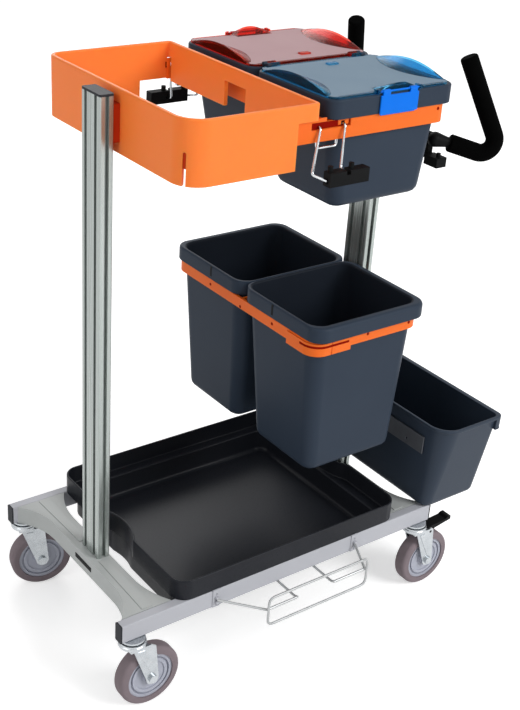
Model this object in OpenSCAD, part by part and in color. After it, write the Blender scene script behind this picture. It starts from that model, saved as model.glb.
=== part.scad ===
// Cleaning cart on four swivel casters: a base of two rail tubes and two cross members carries two slotted
// posts. The left post holds a bag hoop. The right post holds two lidded boxes, two bins, a side bucket and
// a pair of bent foam handles. Millimetres, +Z up, floor at z = 0, x = 0 midway between the posts.

/* [Base] */
// Length of each rail tube
rail_l = 740; // [700:1:820]
// Width of a rail tube
rail_w = 20; // [16:0.5:26]
// Height of a rail tube
rail_h = 38; // [32:1:50]
// Wall of a rail tube
rail_wall = 1.5; // [1:0.1:2.5]
// Width over both rails
rail_span = 446; // [430:1:480]
// Distance between the two posts
post_spacing = 595; // [575:1:630]
// Width of a cross member at its middle
cross_w = 42; // [36:1:48]
// How far a cross member lies outside its post's middle line
cross_offset = 6; // [2:0.5:9]
// Thickness of a cross member's top plate
cross_top = 8; // [6:0.5:12]
// Reach of a cross member's outer flare along the rail
flare_out = 36; // [20:1:40]
// Reach of a cross member's inner flare along the rail
flare_in = 26; // [15:1:30]
// Run of a flare across the cart
flare_run = 90; // [60:1:110]

/* [Posts] */
// Length of the left post
post_l = 890; // [850:1:950]
// Thickness of a post along the cart
post_t = 26; // [22:0.5:30]
// Width of a post across the cart
post_w = 60; // [54:1:66]
// Opening of a post slot
slot_w = 8; // [7:0.1:9]
// Distance of the two wide face slots from the middle plane
slot_y = 16; // [15:0.5:18]
// Thickness of a post cap
post_cap = 4; // [2:0.5:8]

/* [Casters] */
// Height of a caster from the floor to the rail
caster_h = 160; // [154:1:180]
// Diameter of a wheel
wheel_d = 125; // [110:1:128]
// Width of a tyre
wheel_w = 30; // [24:1:32]
// Trail of a wheel behind its swivel axis
trail = 32; // [26:1:38]
// Distance of a swivel axis from the rail's end
caster_inset = 27; // [24:1:40]
// Turn of the far left caster about its swivel axis
far_left_turn = -13; // [-45:1:45]

/* [Tray and basket] */
// Height of the tray's rim above the rails
tray_rim = 42; // [30:1:60]
// Depth of the tray's pan below the rails
tray_pan = 49; // [30:1:54]
// Wall of the tray
tray_wall = 4; // [3:0.2:6]
// Reach of the basket beyond the near rail
basket_reach = 65; // [50:1:80]
// Height of the basket's front loop
basket_h = 62; // [50:1:75]
// Diameter of the basket wire
basket_wire = 5.2; // [3:0.2:6]

/* [Bag hoop] */
// Length of the hoop along the cart
hoop_l = 254; // [242:1:264]
// Width of the hoop across the cart
hoop_w = 445; // [432:1:456]
// Height of the hoop's band
hoop_h = 107; // [95:1:120]
// Wall of the hoop
hoop_wall = 8; // [5:0.2:9]
// Gap between the left post and the hoop
hoop_gap = 12; // [10:0.5:16]
// Length of the hoop's low strip at the box side
hoop_strip_l = 45; // [36:1:56]
// Height of the hoop's low strip
hoop_strip_h = 29; // [24:1:32]
// Length of the cutout under the hoop's far side
hoop_far_l = 69; // [50:1:90]

/* [Upper boxes] */
// Length of the box frame's ring
frame_l = 263; // [256:1:268]
// Height of the box frame's band
frame_h = 32; // [28:1:40]
// Wall of the box frame
frame_wall = 5; // [4:0.2:6]
// Gap between the box frame and the right post
frame_gap = 13.5; // [9:0.5:15]
// Depth of a box below the frame's top edge
box_d = 165; // [120:1:175]
// Height of a box collar
collar_h = 33; // [28:1:40]
// Rise of the arched ends of a lid
lid_rise = 15; // [10:1:18]
// Length of the arched ends of a lid
lid_arch_l = 42; // [30:1:50]
// Length of a latch
latch_l = 84; // [70:1:110]
// Rise of the finger arch above a latch
latch_rise = 12; // [8:1:16]

/* [Bins] */
// Height of the bin frame's lower edge above the floor
bin_frame_z = 639; // [600:1:660]
// Height of the bin frame's band
bin_frame_h = 21; // [18:1:30]
// Width over the bin frame
bin_frame_w = 446; // [436:1:460]
// Length of the bin frame
bin_frame_l = 255; // [248:1:262]
// Depth of a bin
bin_d = 315; // [270:1:330]
// Height of a bin's rim
bin_rim = 29; // [22:1:36]
// Wall of the boxes, bins and bucket
tub_wall = 3; // [2.5:0.1:4]

/* [Side bucket] */
// Width of the bucket along the cart
bucket_w = 156; // [140:1:170]
// Length of the bucket across the cart
bucket_l = 526; // [490:1:534]
// Height of the bucket
bucket_h = 199; // [170:1:220]
// Gap between the right post and the bucket's rim
bucket_gap = 29.5; // [27:0.5:36]
// Length of the bucket's hanger strip
strip_l = 420; // [380:1:430]
// Height of the bucket's hanger strip
strip_h = 39; // [34:1:44]

/* [Handles] */
// Diameter of the foam grip
grip_d = 33; // [28:0.5:36]
// Diameter of the steel handle tube
tube_d = 19; // [16:0.5:21]
// Bend radius of a handle at its middle line
handle_bend = 24; // [20:1:30]
// Diameter of the handle bar
bar_d = 22; // [20:0.5:24]
// Diameter of the tool holder wire
tool_wire = 4.4; // [3:0.2:5]

/* [Hidden] */
$fn = 48;
fit = 0.05;
seat = 0.3;
rail_z1 = caster_h + rail_h;
rail_out = rail_span / 2;
rail_in = rail_out - rail_w;
cross_x = post_spacing / 2 + cross_offset;
cross_in_x = cross_x - cross_w / 2;
post_x = post_spacing / 2;
post_face = post_x - post_t / 2;
post_back = post_x + post_t / 2;
left_top = rail_z1 + post_l;
slot_lip = 2;
slot_depth = 6.5;
pocket_w = slot_w + 4;
core_r = 3.4;
screw_r = 3;
screw_hole = screw_r + 0.2;
head_r = 5.5;
head_h = 3;
swivel_x = rail_l / 2 - caster_inset;
swivel_y = rail_out - rail_w / 2;
wheel_r = wheel_d / 2;
hub_r = wheel_r - 15.5;
head_z = caster_h - 9;
dish_z = caster_h - 21;
dish_r = 26;
king_r = 6;
leg_in = wheel_w / 2 + 3;
leg_t = 3;
axle_r = 5;
pedal_x = 30;
pedal_z = caster_h - 24;
pin_r = 3;
tray_x0 = -cross_in_x + 29.5;
tray_x1 = cross_in_x - 5.5;
tray_y = rail_out - 1;
tray_z1 = rail_z1 + tray_rim;
pan_x0 = tray_x0 + 13;
pan_x1 = tray_x1 - 25;
pan_y = rail_in - 3;
pan_z0 = rail_z1 - tray_pan;
recess_half = 62;
recess_deep = 18;
recess_r = (recess_half * recess_half + recess_deep * recess_deep) / (2 * recess_deep);
clip_x = [-170, 164];
clip_w = 16;
strap_t = 1.6;
basket_y = -rail_out - basket_reach;
basket_x = [-95, 145];
basket_z = [caster_h - 32, caster_h - 32 + basket_h];
cross_wire_x = [-22, 67];
hoop_x0 = -post_face + hoop_gap;
hoop_x1 = hoop_x0 + hoop_l;
hoop_step = hoop_x1 - hoop_strip_l;
hoop_half = hoop_w / 2;
hoop_z1 = left_top + 9;
hoop_z0 = hoop_z1 - hoop_h;
hoop_screw_z = hoop_z0 + 52;
hoop_wide_r = 45;
hoop_tight_r = 10;
slit_turn = 215;
slit_h = 52;
frame_x1 = post_face - frame_gap;
frame_x0 = frame_x1 - frame_l;
frame_half = hoop_half - hoop_wall - 0.02;
frame_z1 = hoop_z1 - 35;
frame_z0 = frame_z1 - frame_h;
frame_r = 22;
frame_screw_z = frame_z1 - 21;
right_top = frame_z1 - 12;
tool_slot_x = [frame_x0 - 22, frame_x0 + 29.5];
tool_slot_z = frame_z1 - 7;
collar_z0 = frame_z1 + seat;
collar_z1 = collar_z0 + collar_h;
collar_x = [frame_x0 - 2, frame_x1 + 13];
collar_y = [-frame_half - 3, -3];
box_top_x = [frame_x0 + frame_wall + 1.5, frame_x1 - frame_wall - 1.5];
box_top_y = [-frame_half + frame_wall + 1, -5];
box_low_x = [box_top_x[0] + 30, box_top_x[1] - 12];
box_low_y = [box_top_y[0] + 10, box_top_y[1] - 18];
box_z0 = frame_z1 - box_d;
hinge_y = -6;
hinge_z = collar_z1 + 4.5;
hinge_r = 4;
hinge_pin = 2.5;
lid_t = 3.5;
lid_x = [collar_x[0] + 5, collar_x[1] - 11];
lid_y = [collar_y[0] + 4, hinge_y - 2];
lid_z0 = collar_z1 + seat;
lid_z1 = lid_z0 + lid_t;
lug_x = [lid_x[0] + 25, lid_x[1] - 25];
lug_w = 8;
lid_mid = (lid_x[0] + lid_x[1]) / 2;
latch_x = lid_mid + 8;
latch_pin_y = collar_y[0] - 0.4;
latch_pin = 2;
ear_w = 6;
bin_x1 = post_face - 18.5;
bin_x0 = bin_x1 - bin_frame_l;
bin_half = bin_frame_w / 2;
bin_frame_z1 = bin_frame_z + bin_frame_h;
bin_rim_z0 = bin_frame_z1 + seat;
bin_z1 = bin_rim_z0 + bin_rim;
bin_z0 = bin_z1 - bin_d;
bin_rim_x = [bin_x0 - 1, bin_x1 + 10];
bin_rim_y = [-bin_half - 9, -2];
bin_top_x = [bin_x0 + 4.5, bin_x1 - 4.5];
bin_top_y = [-bin_half + 4.5, -4];
bin_low_x = [bin_top_x[0] + 22, bin_top_x[1] - 13];
bin_low_y = [bin_top_y[0] + 12, bin_top_y[1] - 24];
bin_screw_z = bin_frame_z + bin_frame_h / 2;
bucket_x0 = post_back + bucket_gap;
bucket_x1 = bucket_x0 + bucket_w;
bucket_half = bucket_l / 2;
bucket_z0 = rail_z1 + seat;
bucket_z1 = bucket_z0 + bucket_h;
strip_t = 3;
strip_x1 = bucket_x0 - 0.5;
strip_x0 = strip_x1 - strip_t;
strip_z1 = bucket_z1 - 32;
strip_z0 = strip_z1 - strip_h;
hook_y = 80;
hook_w = 24;
bar_x = post_back + 16.5;
bar_z = right_top - 82;
bar_half = 128;
handle_bracket_z1 = bar_z + 38;
handle_screw_z = bar_z + 27;
neck = [bar_x + 17, -156, bar_z - 3];
elbow = [bar_x + 107, -214, bar_z - 34];
grip_top = [bar_x + 41.5, -155, bar_z + 152];
knuckle_r = 14;
knuckle = [bar_x, -bar_half - 12, bar_z];
clip_block = [82, 18, 24];
tool_clip_at = [frame_x0 + 8, -frame_half - 43, frame_z1 - 80];
rear_clip_at = [bar_x, -150, bar_z - 38];

// Shapes used by several pieces

// Rectangle with rounded corners, radius ra at the low x end and rb at the high x end
module round_plan(x, y, ra, rb) {
    translate([x[0] + ra, y[0]]) square([x[1] - x[0] - ra - rb, y[1] - y[0]]);
    translate([x[0], y[0] + ra]) square([ra + 1, y[1] - y[0] - 2 * ra]);
    translate([x[1] - rb - 1, y[0] + rb]) square([rb + 1, y[1] - y[0] - 2 * rb]);
    for (cy = [y[0] + ra, y[1] - ra]) {
        translate([x[0] + ra, cy]) circle(r = ra);
    }
    for (cy = [y[0] + rb, y[1] - rb]) {
        translate([x[1] - rb, cy]) circle(r = rb);
    }
}

// Plan raised from z0 to z1
module raised(z0, z1) {
    translate([0, 0, z0]) linear_extrude(z1 - z0) children();
}

// Box given by its ranges
module block(x, y, z) {
    translate([x[0], y[0], z[0]]) cube([x[1] - x[0], y[1] - y[0], z[1] - z[0]]);
}

// Closed ring with a wall, raised from z0 to z1
module ring_wall(x, y, ra, rb, wall, z0, z1) {
    difference() {
        raised(z0, z1) round_plan(x, y, ra, rb);
        raised(z0 - 1, z1 + 1) {
            round_plan([x[0] + wall, x[1] - wall], [y[0] + wall, y[1] - wall], ra - wall, rb - wall);
        }
    }
}

// Tapered body with rounded corners at the top and a rounded bottom
module tub_body(top_x, top_y, low_x, low_y, z0, z1, top_r, low_r) {
    hull() {
        for (k = [0, 1], m = [0, 1]) {
            r = top_r[k];
            corner = [top_x[k] + r * (1 - 2 * k), top_y[m] + r * (1 - 2 * m), z1 - 0.5];
            translate(corner) cylinder(r = r, h = 0.5, $fn = 32);
        }
        for (x = [low_x[0] + low_r, low_x[1] - low_r], y = [low_y[0] + low_r, low_y[1] - low_r]) {
            translate([x, y, z0 + low_r]) sphere(r = low_r, $fn = 24);
        }
    }
}

// The same body smaller by a wall, open at its top
module tub_hollow(top_x, top_y, low_x, low_y, z0, z1, top_r, low_r, wall) {
    inset = [wall, -wall];
    tub_body(top_x + inset, top_y + inset, low_x + inset, low_y + inset, z0 + wall, z1 + 0.5,
             top_r - [wall, wall], low_r - wall);
}

// Copy for the far side of the cart
module far_side() {
    mirror([0, 1, 0]) children();
}

// Copy for the far side, turned half round instead of mirrored
module turned_round() {
    translate([2 * frame_x0, 0, 0]) rotate([0, 0, 180]) children();
}

// Cylinder along x
module x_rod(x, y, z, r) {
    translate([x[0], y, z]) rotate([0, 90, 0]) cylinder(r = r, h = x[1] - x[0]);
}

// Cylinder along y
module y_rod(x, y, z, r) {
    translate([x, y[0], z]) rotate([-90, 0, 0]) cylinder(r = r, h = y[1] - y[0]);
}

// Round wire or tube along a line of points
function unit(v) = v / norm(v);
function aim(v) = [0, acos(v[2] / norm(v)), atan2(v[1], v[0])];
function heading(p, i) =
    i == 0 ? unit(p[1] - p[0]) :
    i == len(p) - 1 ? unit(p[i] - p[i - 1]) :
    unit(unit(p[i] - p[i - 1]) + unit(p[i + 1] - p[i]));
function first_side(t) = unit(cross(t, abs(t[2]) < 0.8 ? [0, 0, 1] : [1, 0, 0]));
function carried(n, t) = unit(n - (n * t) * t);
function side_list(p, i = 0, before = [0, 0, 0]) =
    let (t = heading(p, i), n = i == 0 ? first_side(t) : carried(before, t))
    concat([n], i == len(p) - 1 ? [] : side_list(p, i + 1, n));
function bend(a, c, b, reach, steps) =
    let (start = c + reach * unit(a - c), finish = c + reach * unit(b - c))
    [for (k = [0 : steps])
        let (t = k / steps) (1 - t) * (1 - t) * start + 2 * t * (1 - t) * c + t * t * finish];
function round_bend(a, c, b, r, steps) =
    let (one = unit(a - c), two = unit(b - c), half = acos(one * two) / 2,
         middle = c + r / sin(half) * unit(one + two), first = unit(c + r / tan(half) * one - middle),
         last = c + r / tan(half) * two - middle, other = unit(last - (last * first) * first))
    [for (k = [0 : steps])
        let (t = k / steps * (180 - 2 * half)) middle + r * (cos(t) * first + sin(t) * other)];
function bent_path(p, reach, steps = 5) = concat(
    [p[0]],
    [for (i = [1 : len(p) - 2], q = bend(p[i - 1], p[i], p[i + 1], reach, steps)) q],
    [p[len(p) - 1]]);
function rings(p, r, sides) =
    let (n = side_list(p))
    [for (i = [0 : len(p) - 1], j = [0 : sides - 1])
        let (t = heading(p, i), b = cross(t, n[i]), a = 360 * j / sides)
        p[i] + r * (cos(a) * n[i] + sin(a) * b)];
function ring_walls(count, sides) = [for (i = [0 : count - 2], j = [0 : sides - 1])
    let (k = (j + 1) % sides)
    [i * sides + k, i * sides + j, (i + 1) * sides + j, (i + 1) * sides + k]];

module swept(p, r, sides = 10) {
    last = (len(p) - 1) * sides;
    caps = [[for (j = [0 : sides - 1]) j], [for (j = [sides - 1 : -1 : 0]) last + j]];
    polyhedron(rings(p, r, sides), concat(ring_walls(len(p), sides), caps), convexity = 6);
}

// Sleeve along a line of points, open at its start and closed at its end by a wall
module sleeve(p, r_out, r_in, end_wall, sides) {
    count = len(p);
    inside = count * sides;
    last = inside - sides;
    stop = p[count - 1] - end_wall * heading(p, count - 1);
    bore = concat([for (i = [0 : count - 2]) p[i]], [stop]);
    bore_walls = [for (wall = ring_walls(count, sides)) [for (k = [3 : -1 : 0]) wall[k] + inside]];
    mouth = [for (j = [0 : sides - 1]) let (k = (j + 1) % sides) [j, k, inside + k, inside + j]];
    caps = [[for (j = [sides - 1 : -1 : 0]) last + j], [for (j = [0 : sides - 1]) inside + last + j]];
    polyhedron(concat(rings(p, r_out, sides), rings(bore, r_in, sides)),
               concat(ring_walls(count, sides), bore_walls, mouth, caps), convexity = 8);
}

// Base

module rail() {
    color([0.72, 0.74, 0.76]) difference() {
        rotate([90, 0, 90]) translate([0, 0, -rail_l / 2]) linear_extrude(rail_l) difference() {
            round_plan([rail_in, rail_out], [caster_h, rail_z1], 2.5, 2.5);
            round_plan([rail_in + rail_wall, rail_out - rail_wall],
                       [caster_h + rail_wall, rail_z1 - rail_wall], 1, 1);
        }
        for (x = [-swivel_x, swivel_x]) {
            translate([x, swivel_y, caster_h - 1]) cylinder(r = 5.2, h = rail_wall + 3);
        }
    }
}

module near_rail() far_side() rail();

module far_rail() rail();

module rail_end_caps() {
    plug = rail_wall + 0.15;
    color([0.22, 0.23, 0.25]) for (sx = [0, 1], sy = [0, 1]) {
        mirror([sx, 0, 0]) mirror([0, sy, 0]) translate([rail_l / 2, 0, 0]) {
            rotate([90, 0, 90]) linear_extrude(3) {
                round_plan([rail_in, rail_out], [caster_h, rail_z1], 2.5, 2.5);
            }
            block([-12, 1], [rail_in + plug + 0.5, rail_out - plug - 0.5],
                  [caster_h + plug + 0.5, rail_z1 - plug - 0.5]);
        }
    }
}

// Outline between a cross member's straight edge at x = 0 and its flare toward +x
module flare(reach) {
    r = (flare_run * flare_run + reach * reach) / (2 * reach);
    difference() {
        translate([-1, rail_in - flare_run]) square([reach + 1, flare_run]);
        translate([r, rail_in - flare_run]) circle(r = r, $fn = 96);
    }
}

module cross_plan() {
    translate([cross_in_x, -rail_in]) square([cross_w, 2 * rail_in]);
    for (m = [0, 1]) {
        mirror([0, m]) {
            translate([cross_in_x + cross_w, 0]) flare(flare_out);
            translate([cross_in_x, 0]) mirror([1, 0]) flare(flare_in);
        }
    }
}

module cross_member() {
    insert_z = rail_z1 - 24;
    color([0.70, 0.72, 0.74]) difference() {
        union() {
            raised(caster_h, rail_z1) cross_plan();
            for (m = [0, 1]) {
                mirror([0, m, 0]) raised(rail_z1 - 1, rail_z1 + 1.5) {
                    polygon([[cross_x - 8, post_w / 2 + 8], [cross_x + 8, post_w / 2 + 8],
                             [cross_x + 12, rail_in - 4], [cross_x - 12, rail_in - 4]]);
                }
            }
        }
        block([cross_in_x + 5, cross_in_x + cross_w - 6], [-rail_in + 12, rail_in - 12],
              [caster_h - 1, rail_z1 - cross_top]);
        block([cross_in_x + cross_w - 3, cross_in_x + cross_w + 2], [-30, 30], [insert_z, insert_z + 10]);
        for (y = [-slot_y, slot_y]) {
            translate([post_x, y, caster_h]) cylinder(r = core_r + 0.2, h = rail_h + 1);
        }
    }
}

module left_cross_member() mirror([1, 0, 0]) cross_member();

module right_cross_member() cross_member();

module foot_inserts() {
    insert_z = rail_z1 - 24;
    outer = cross_in_x + cross_w;
    color([0.08, 0.08, 0.09]) for (m = [0, 1]) {
        mirror([m, 0, 0]) {
            block([outer - 3 + fit, outer + 0.6], [-30 + fit, 30 - fit],
                  [insert_z + fit, insert_z + 10 - fit]);
        }
    }
}

// Posts

// Slot of a post, opening toward +x at x = 0
module slot_plan() {
    translate([-slot_lip - 0.01, -slot_w / 2]) square([slot_lip + 1, slot_w]);
    translate([-slot_depth, -pocket_w / 2]) square([slot_depth - slot_lip, pocket_w]);
}

module post_plan() {
    half = [post_t / 2, post_w / 2];
    difference() {
        round_plan([-half[0], half[0]], [-half[1], half[1]], 3, 3);
        for (y = [-slot_y, slot_y]) {
            translate([half[0], y]) slot_plan();
            translate([-half[0], y]) mirror([1, 0]) slot_plan();
            translate([0, y]) circle(r = core_r, $fn = 24);
        }
        translate([0, half[1]]) rotate(90) slot_plan();
        translate([0, -half[1]]) rotate(-90) slot_plan();
    }
}

module left_post() {
    color([0.78, 0.79, 0.81]) translate([-post_x, 0, 0]) raised(rail_z1, left_top) post_plan();
}

module right_post() {
    color([0.78, 0.79, 0.81]) translate([post_x, 0, 0]) raised(rail_z1, right_top) post_plan();
}

module post_caps() {
    half = [post_t / 2, post_w / 2];
    color([0.25, 0.26, 0.28]) for (at = [[-post_x, left_top], [post_x, right_top]]) {
        translate([at[0], 0, at[1]]) {
            raised(0, post_cap) round_plan([-half[0], half[0]], [-half[1], half[1]], 3, 3);
            for (y = [-slot_y, slot_y]) {
                translate([0, y, -10]) cylinder(r = core_r - 0.2, h = 11);
            }
        }
    }
}

module post_bolts() {
    top = rail_z1 - cross_top;
    color([0.6, 0.61, 0.63]) for (x = [-post_x, post_x], y = [-slot_y, slot_y]) {
        translate([x, y, top - 5]) cylinder(r = 6, h = 5);
        translate([x, y, top - 1]) cylinder(r = core_r - 0.1, h = cross_top + 26);
    }
}

// Casters

module caster_heads() {
    color([0.75, 0.75, 0.74]) for (x = [-swivel_x, swivel_x], y = [-swivel_y, swivel_y]) {
        translate([x, y, 0]) {
            rotate_extrude() {
                polygon([[0, head_z], [25, head_z], [25, head_z + 3], [20, head_z + 3.5],
                         [20, caster_h - 3.5], [23.5, caster_h - 3], [23.5, caster_h], [0, caster_h]]);
            }
            translate([0, 0, caster_h - 1]) cylinder(r = 5, h = 17);
            translate([0, 0, caster_h + rail_wall + fit]) cylinder(r = 7.5, h = 6.5, $fn = 6);
            translate([0, 0, dish_z - 3]) cylinder(r = king_r, h = head_z - dish_z + 4);
            translate([0, 0, dish_z - 3.5]) cylinder(r = 9, h = 3.2);
        }
    }
}

// Places a caster's moving pieces under its rail end and turns them about the swivel axis
module at_caster(sx, sy, turn) {
    translate([sx * swivel_x, sy * swivel_y, 0]) rotate([0, 0, turn]) children();
}

module fork_leg_plan(eye) {
    difference() {
        union() {
            polygon([[-10, dish_z + 4], [28, dish_z + 4], [pedal_x + 8, pedal_z],
                     [trail + 13, wheel_r], [trail - 13, wheel_r]]);
            translate([trail, wheel_r]) circle(r = 13);
            if (eye) {
                translate([pedal_x, pedal_z]) circle(r = 8);
            }
        }
        translate([trail, wheel_r]) circle(r = axle_r + fit);
        if (eye) {
            translate([pedal_x, pedal_z]) circle(r = pin_r + fit);
        }
    }
}

module fork(eye) {
    crown = sqrt(dish_r * dish_r - leg_in * leg_in);
    color([0.76, 0.75, 0.73]) {
        difference() {
            union() {
                rotate_extrude() {
                    polygon([[0, dish_z], [dish_r - 6, dish_z], [dish_r, dish_z + 5],
                             [dish_r, head_z - seat - 1.5], [dish_r - 1.5, head_z - seat],
                             [0, head_z - seat]]);
                }
                block([-crown + 4, 24], [-leg_in - leg_t, leg_in + leg_t], [dish_z, dish_z + 4]);
            }
            translate([0, 0, dish_z - 1]) cylinder(r = king_r + fit, h = 30);
        }
        for (y = [-leg_in, leg_in + leg_t]) {
            translate([0, y, 0]) rotate([90, 0, 0]) linear_extrude(leg_t) fork_leg_plan(eye);
        }
        for (m = [0, 1]) {
            mirror([0, m, 0]) translate([0, leg_in + leg_t + 1.2, 0]) rotate([90, 0, 0]) {
                linear_extrude(2.2) {
                    polygon([[0, dish_z - 3], [14, dish_z - 3],
                             [trail + 4, wheel_r + 15], [trail - 4, wheel_r + 15]]);
                }
            }
        }
    }
}

module axle() {
    reach = leg_in + leg_t;
    color([0.62, 0.62, 0.62]) {
        y_rod(trail, [-reach - 4, reach + 4], wheel_r, axle_r);
        y_rod(trail, [-reach - 5, -reach - fit], wheel_r, 8.5);
        y_rod(trail, [reach + fit, reach + 5], wheel_r, 8.5);
    }
}

module hub() {
    color([0.74, 0.74, 0.74]) translate([trail, 0, wheel_r]) rotate([90, 0, 0]) difference() {
        union() {
            cylinder(r = hub_r, h = wheel_w - 6, center = true);
            cylinder(r = 14, h = wheel_w + 4, center = true);
        }
        cylinder(r = axle_r + fit, h = wheel_w + 10, center = true);
        for (z = [-wheel_w / 2 - 1, wheel_w / 2 - 7]) {
            translate([0, 0, z]) difference() {
                cylinder(r = hub_r - 6, h = 8);
                translate([0, 0, -1]) cylinder(r = hub_r - 10, h = 10);
            }
        }
        for (z = [-wheel_w / 2 - 1, wheel_w / 2 - 5]) {
            translate([0, 0, z]) difference() {
                cylinder(r = hub_r - 16, h = 6);
                translate([0, 0, -1]) cylinder(r = 17, h = 8);
            }
        }
    }
}

module tyre() {
    half = wheel_w / 2;
    round = 7;
    color([0.42, 0.38, 0.40]) translate([trail, 0, wheel_r]) rotate([90, 0, 0]) rotate_extrude($fn = 72) {
        translate([hub_r + fit, -half]) square([wheel_r - round - hub_r - fit, wheel_w]);
        translate([wheel_r - round - 1, -half + round]) square([round + 1, wheel_w - 2 * round]);
        for (y = [-half + round, half - round]) {
            translate([wheel_r - round, y]) circle(r = round, $fn = 24);
        }
    }
}

module brake_pedal() {
    half = leg_in - 1;
    tip = pedal_x + 65;
    color([0.10, 0.10, 0.11]) {
        y_rod(pedal_x, [-half, half], pedal_z, 5);
        y_rod(pedal_x, [-leg_in - leg_t + 0.5, leg_in + leg_t - 0.5], pedal_z, pin_r);
        rotate([90, 0, 0]) translate([0, 0, -12]) linear_extrude(24) {
            polygon([[pedal_x - 2, pedal_z + 4.5], [pedal_x + 4, pedal_z - 4], [pedal_x + 14, pedal_z - 6],
                     [pedal_x + 22, pedal_z - 3], [tip, pedal_z + 4], [tip, pedal_z + 12],
                     [tip - 8, pedal_z + 12],
                     [tip - 14, pedal_z + 8]]);
        }
    }
}

module near_left_fork() at_caster(-1, -1, 0) fork(false);
module near_left_axle() at_caster(-1, -1, 0) axle();
module near_left_hub() at_caster(-1, -1, 0) hub();
module near_left_tyre() at_caster(-1, -1, 0) tyre();
module far_left_fork() at_caster(-1, 1, far_left_turn) fork(false);
module far_left_axle() at_caster(-1, 1, far_left_turn) axle();
module far_left_hub() at_caster(-1, 1, far_left_turn) hub();
module far_left_tyre() at_caster(-1, 1, far_left_turn) tyre();
module near_right_fork() at_caster(1, -1, 0) fork(true);
module near_right_axle() at_caster(1, -1, 0) axle();
module near_right_hub() at_caster(1, -1, 0) hub();
module near_right_tyre() at_caster(1, -1, 0) tyre();
module far_right_fork() at_caster(1, 1, 0) fork(true);
module far_right_axle() at_caster(1, 1, 0) axle();
module far_right_hub() at_caster(1, 1, 0) hub();
module far_right_tyre() at_caster(1, 1, 0) tyre();
module near_brake_pedal() at_caster(1, -1, 0) brake_pedal();
module far_brake_pedal() at_caster(1, 1, 0) brake_pedal();

// Tray and basket

// Tray outline with a round recess in each short side
module tray_plan(x, half, r, cut) {
    difference() {
        round_plan(x, [-half, half], r, r);
        translate([tray_x0 + recess_deep - recess_r, 0]) circle(r = recess_r + cut, $fn = 96);
        translate([tray_x1 - recess_deep + recess_r, 0]) circle(r = recess_r + cut, $fn = 96);
    }
}

module tray() {
    w = tray_wall;
    shelf = rail_z1 + seat;
    rim = [tray_x0, tray_x1];
    pan = [pan_x0, pan_x1];
    inset = [w, -w];
    color([0.09, 0.09, 0.10]) difference() {
        union() {
            raised(shelf, tray_z1) tray_plan(rim, tray_y, 32, 0);
            raised(pan_z0, shelf + 1) tray_plan(pan, pan_y, 30, 0);
        }
        raised(shelf + w, tray_z1 + 1) tray_plan(rim + inset, tray_y - w, 32 - w, w);
        raised(pan_z0 + w, tray_z1) tray_plan(pan + inset, pan_y - w, 30 - w, w);
        for (x = clip_x) {
            block([x - clip_w / 2 - 1, x + clip_w / 2 + 1], [-tray_y - 1, -tray_y + 15],
                  [shelf - 1, shelf + strap_t + 0.4]);
        }
    }
}

module wire_basket() {
    r = basket_wire / 2;
    y = basket_y;
    low = basket_z[0];
    top = basket_z[1];
    mid = caster_h + 1;
    under = caster_h - r - 0.3;
    face = -rail_out - strap_t - r - 0.2;
    beside = 2 * r + 0.2;
    loop = [[-0.1, y, low], [basket_x[0], y, low], [basket_x[0], y, top],
            [basket_x[1], y, top], [basket_x[1], y, low], [0.1, y, low]];
    color([0.70, 0.70, 0.71]) {
        swept(bent_path(loop, 14), r);
        for (k = [0, 1]) {
            arm = [[clip_x[k], face, caster_h + 18],
                   [basket_x[k], y + beside, mid],
                   [cross_wire_x[k], y + beside, mid],
                   [cross_wire_x[k], y + beside + r + 6, under],
                   [cross_wire_x[k], -rail_in - 4, under]];
            swept(bent_path(arm, 3, 3), r);
        }
    }
}

module basket_clips() {
    color([0.74, 0.75, 0.76]) for (x = clip_x) {
        wide = [x - clip_w / 2, x + clip_w / 2];
        skin = -rail_out - fit;
        difference() {
            union() {
                block(wide, [skin - strap_t, skin], [caster_h + 1, rail_z1 + fit + strap_t]);
                block(wide, [skin - strap_t, -rail_out + 11], [rail_z1 + fit, rail_z1 + fit + strap_t]);
                for (z = [caster_h + 18 - basket_wire / 2 - 4.6, caster_h + 18 + basket_wire / 2 + 0.6]) {
                    block([x - 3, x + 3], [skin - strap_t - basket_wire, skin - 0.5], [z, z + 4]);
                }
            }
            for (z = [caster_h + 6, caster_h + 30]) {
                y_rod(x, [skin - 8, skin + 1], z, 2);
            }
        }
    }
}

// Bag hoop

// Hoop outline smaller by an inset, with a wide corner on the near bag side and a tight one on the far side
module hoop_plan(inset) {
    x = [hoop_x0 + inset, hoop_x1 - inset];
    round_plan(x, [-hoop_half + inset, 40], hoop_wide_r - inset, hoop_tight_r - inset);
    round_plan(x, [-40, hoop_half - inset], hoop_tight_r - inset, hoop_tight_r - inset);
}

// Slit for tying the bag, seen from outside with its foot at the hoop's lower edge
module slit_plan() {
    polygon([[-3.2, -1], [3.2, -1], [2.4, slit_h], [-2.4, slit_h]]);
    translate([0, slit_h]) circle(r = 3.6);
}

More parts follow.
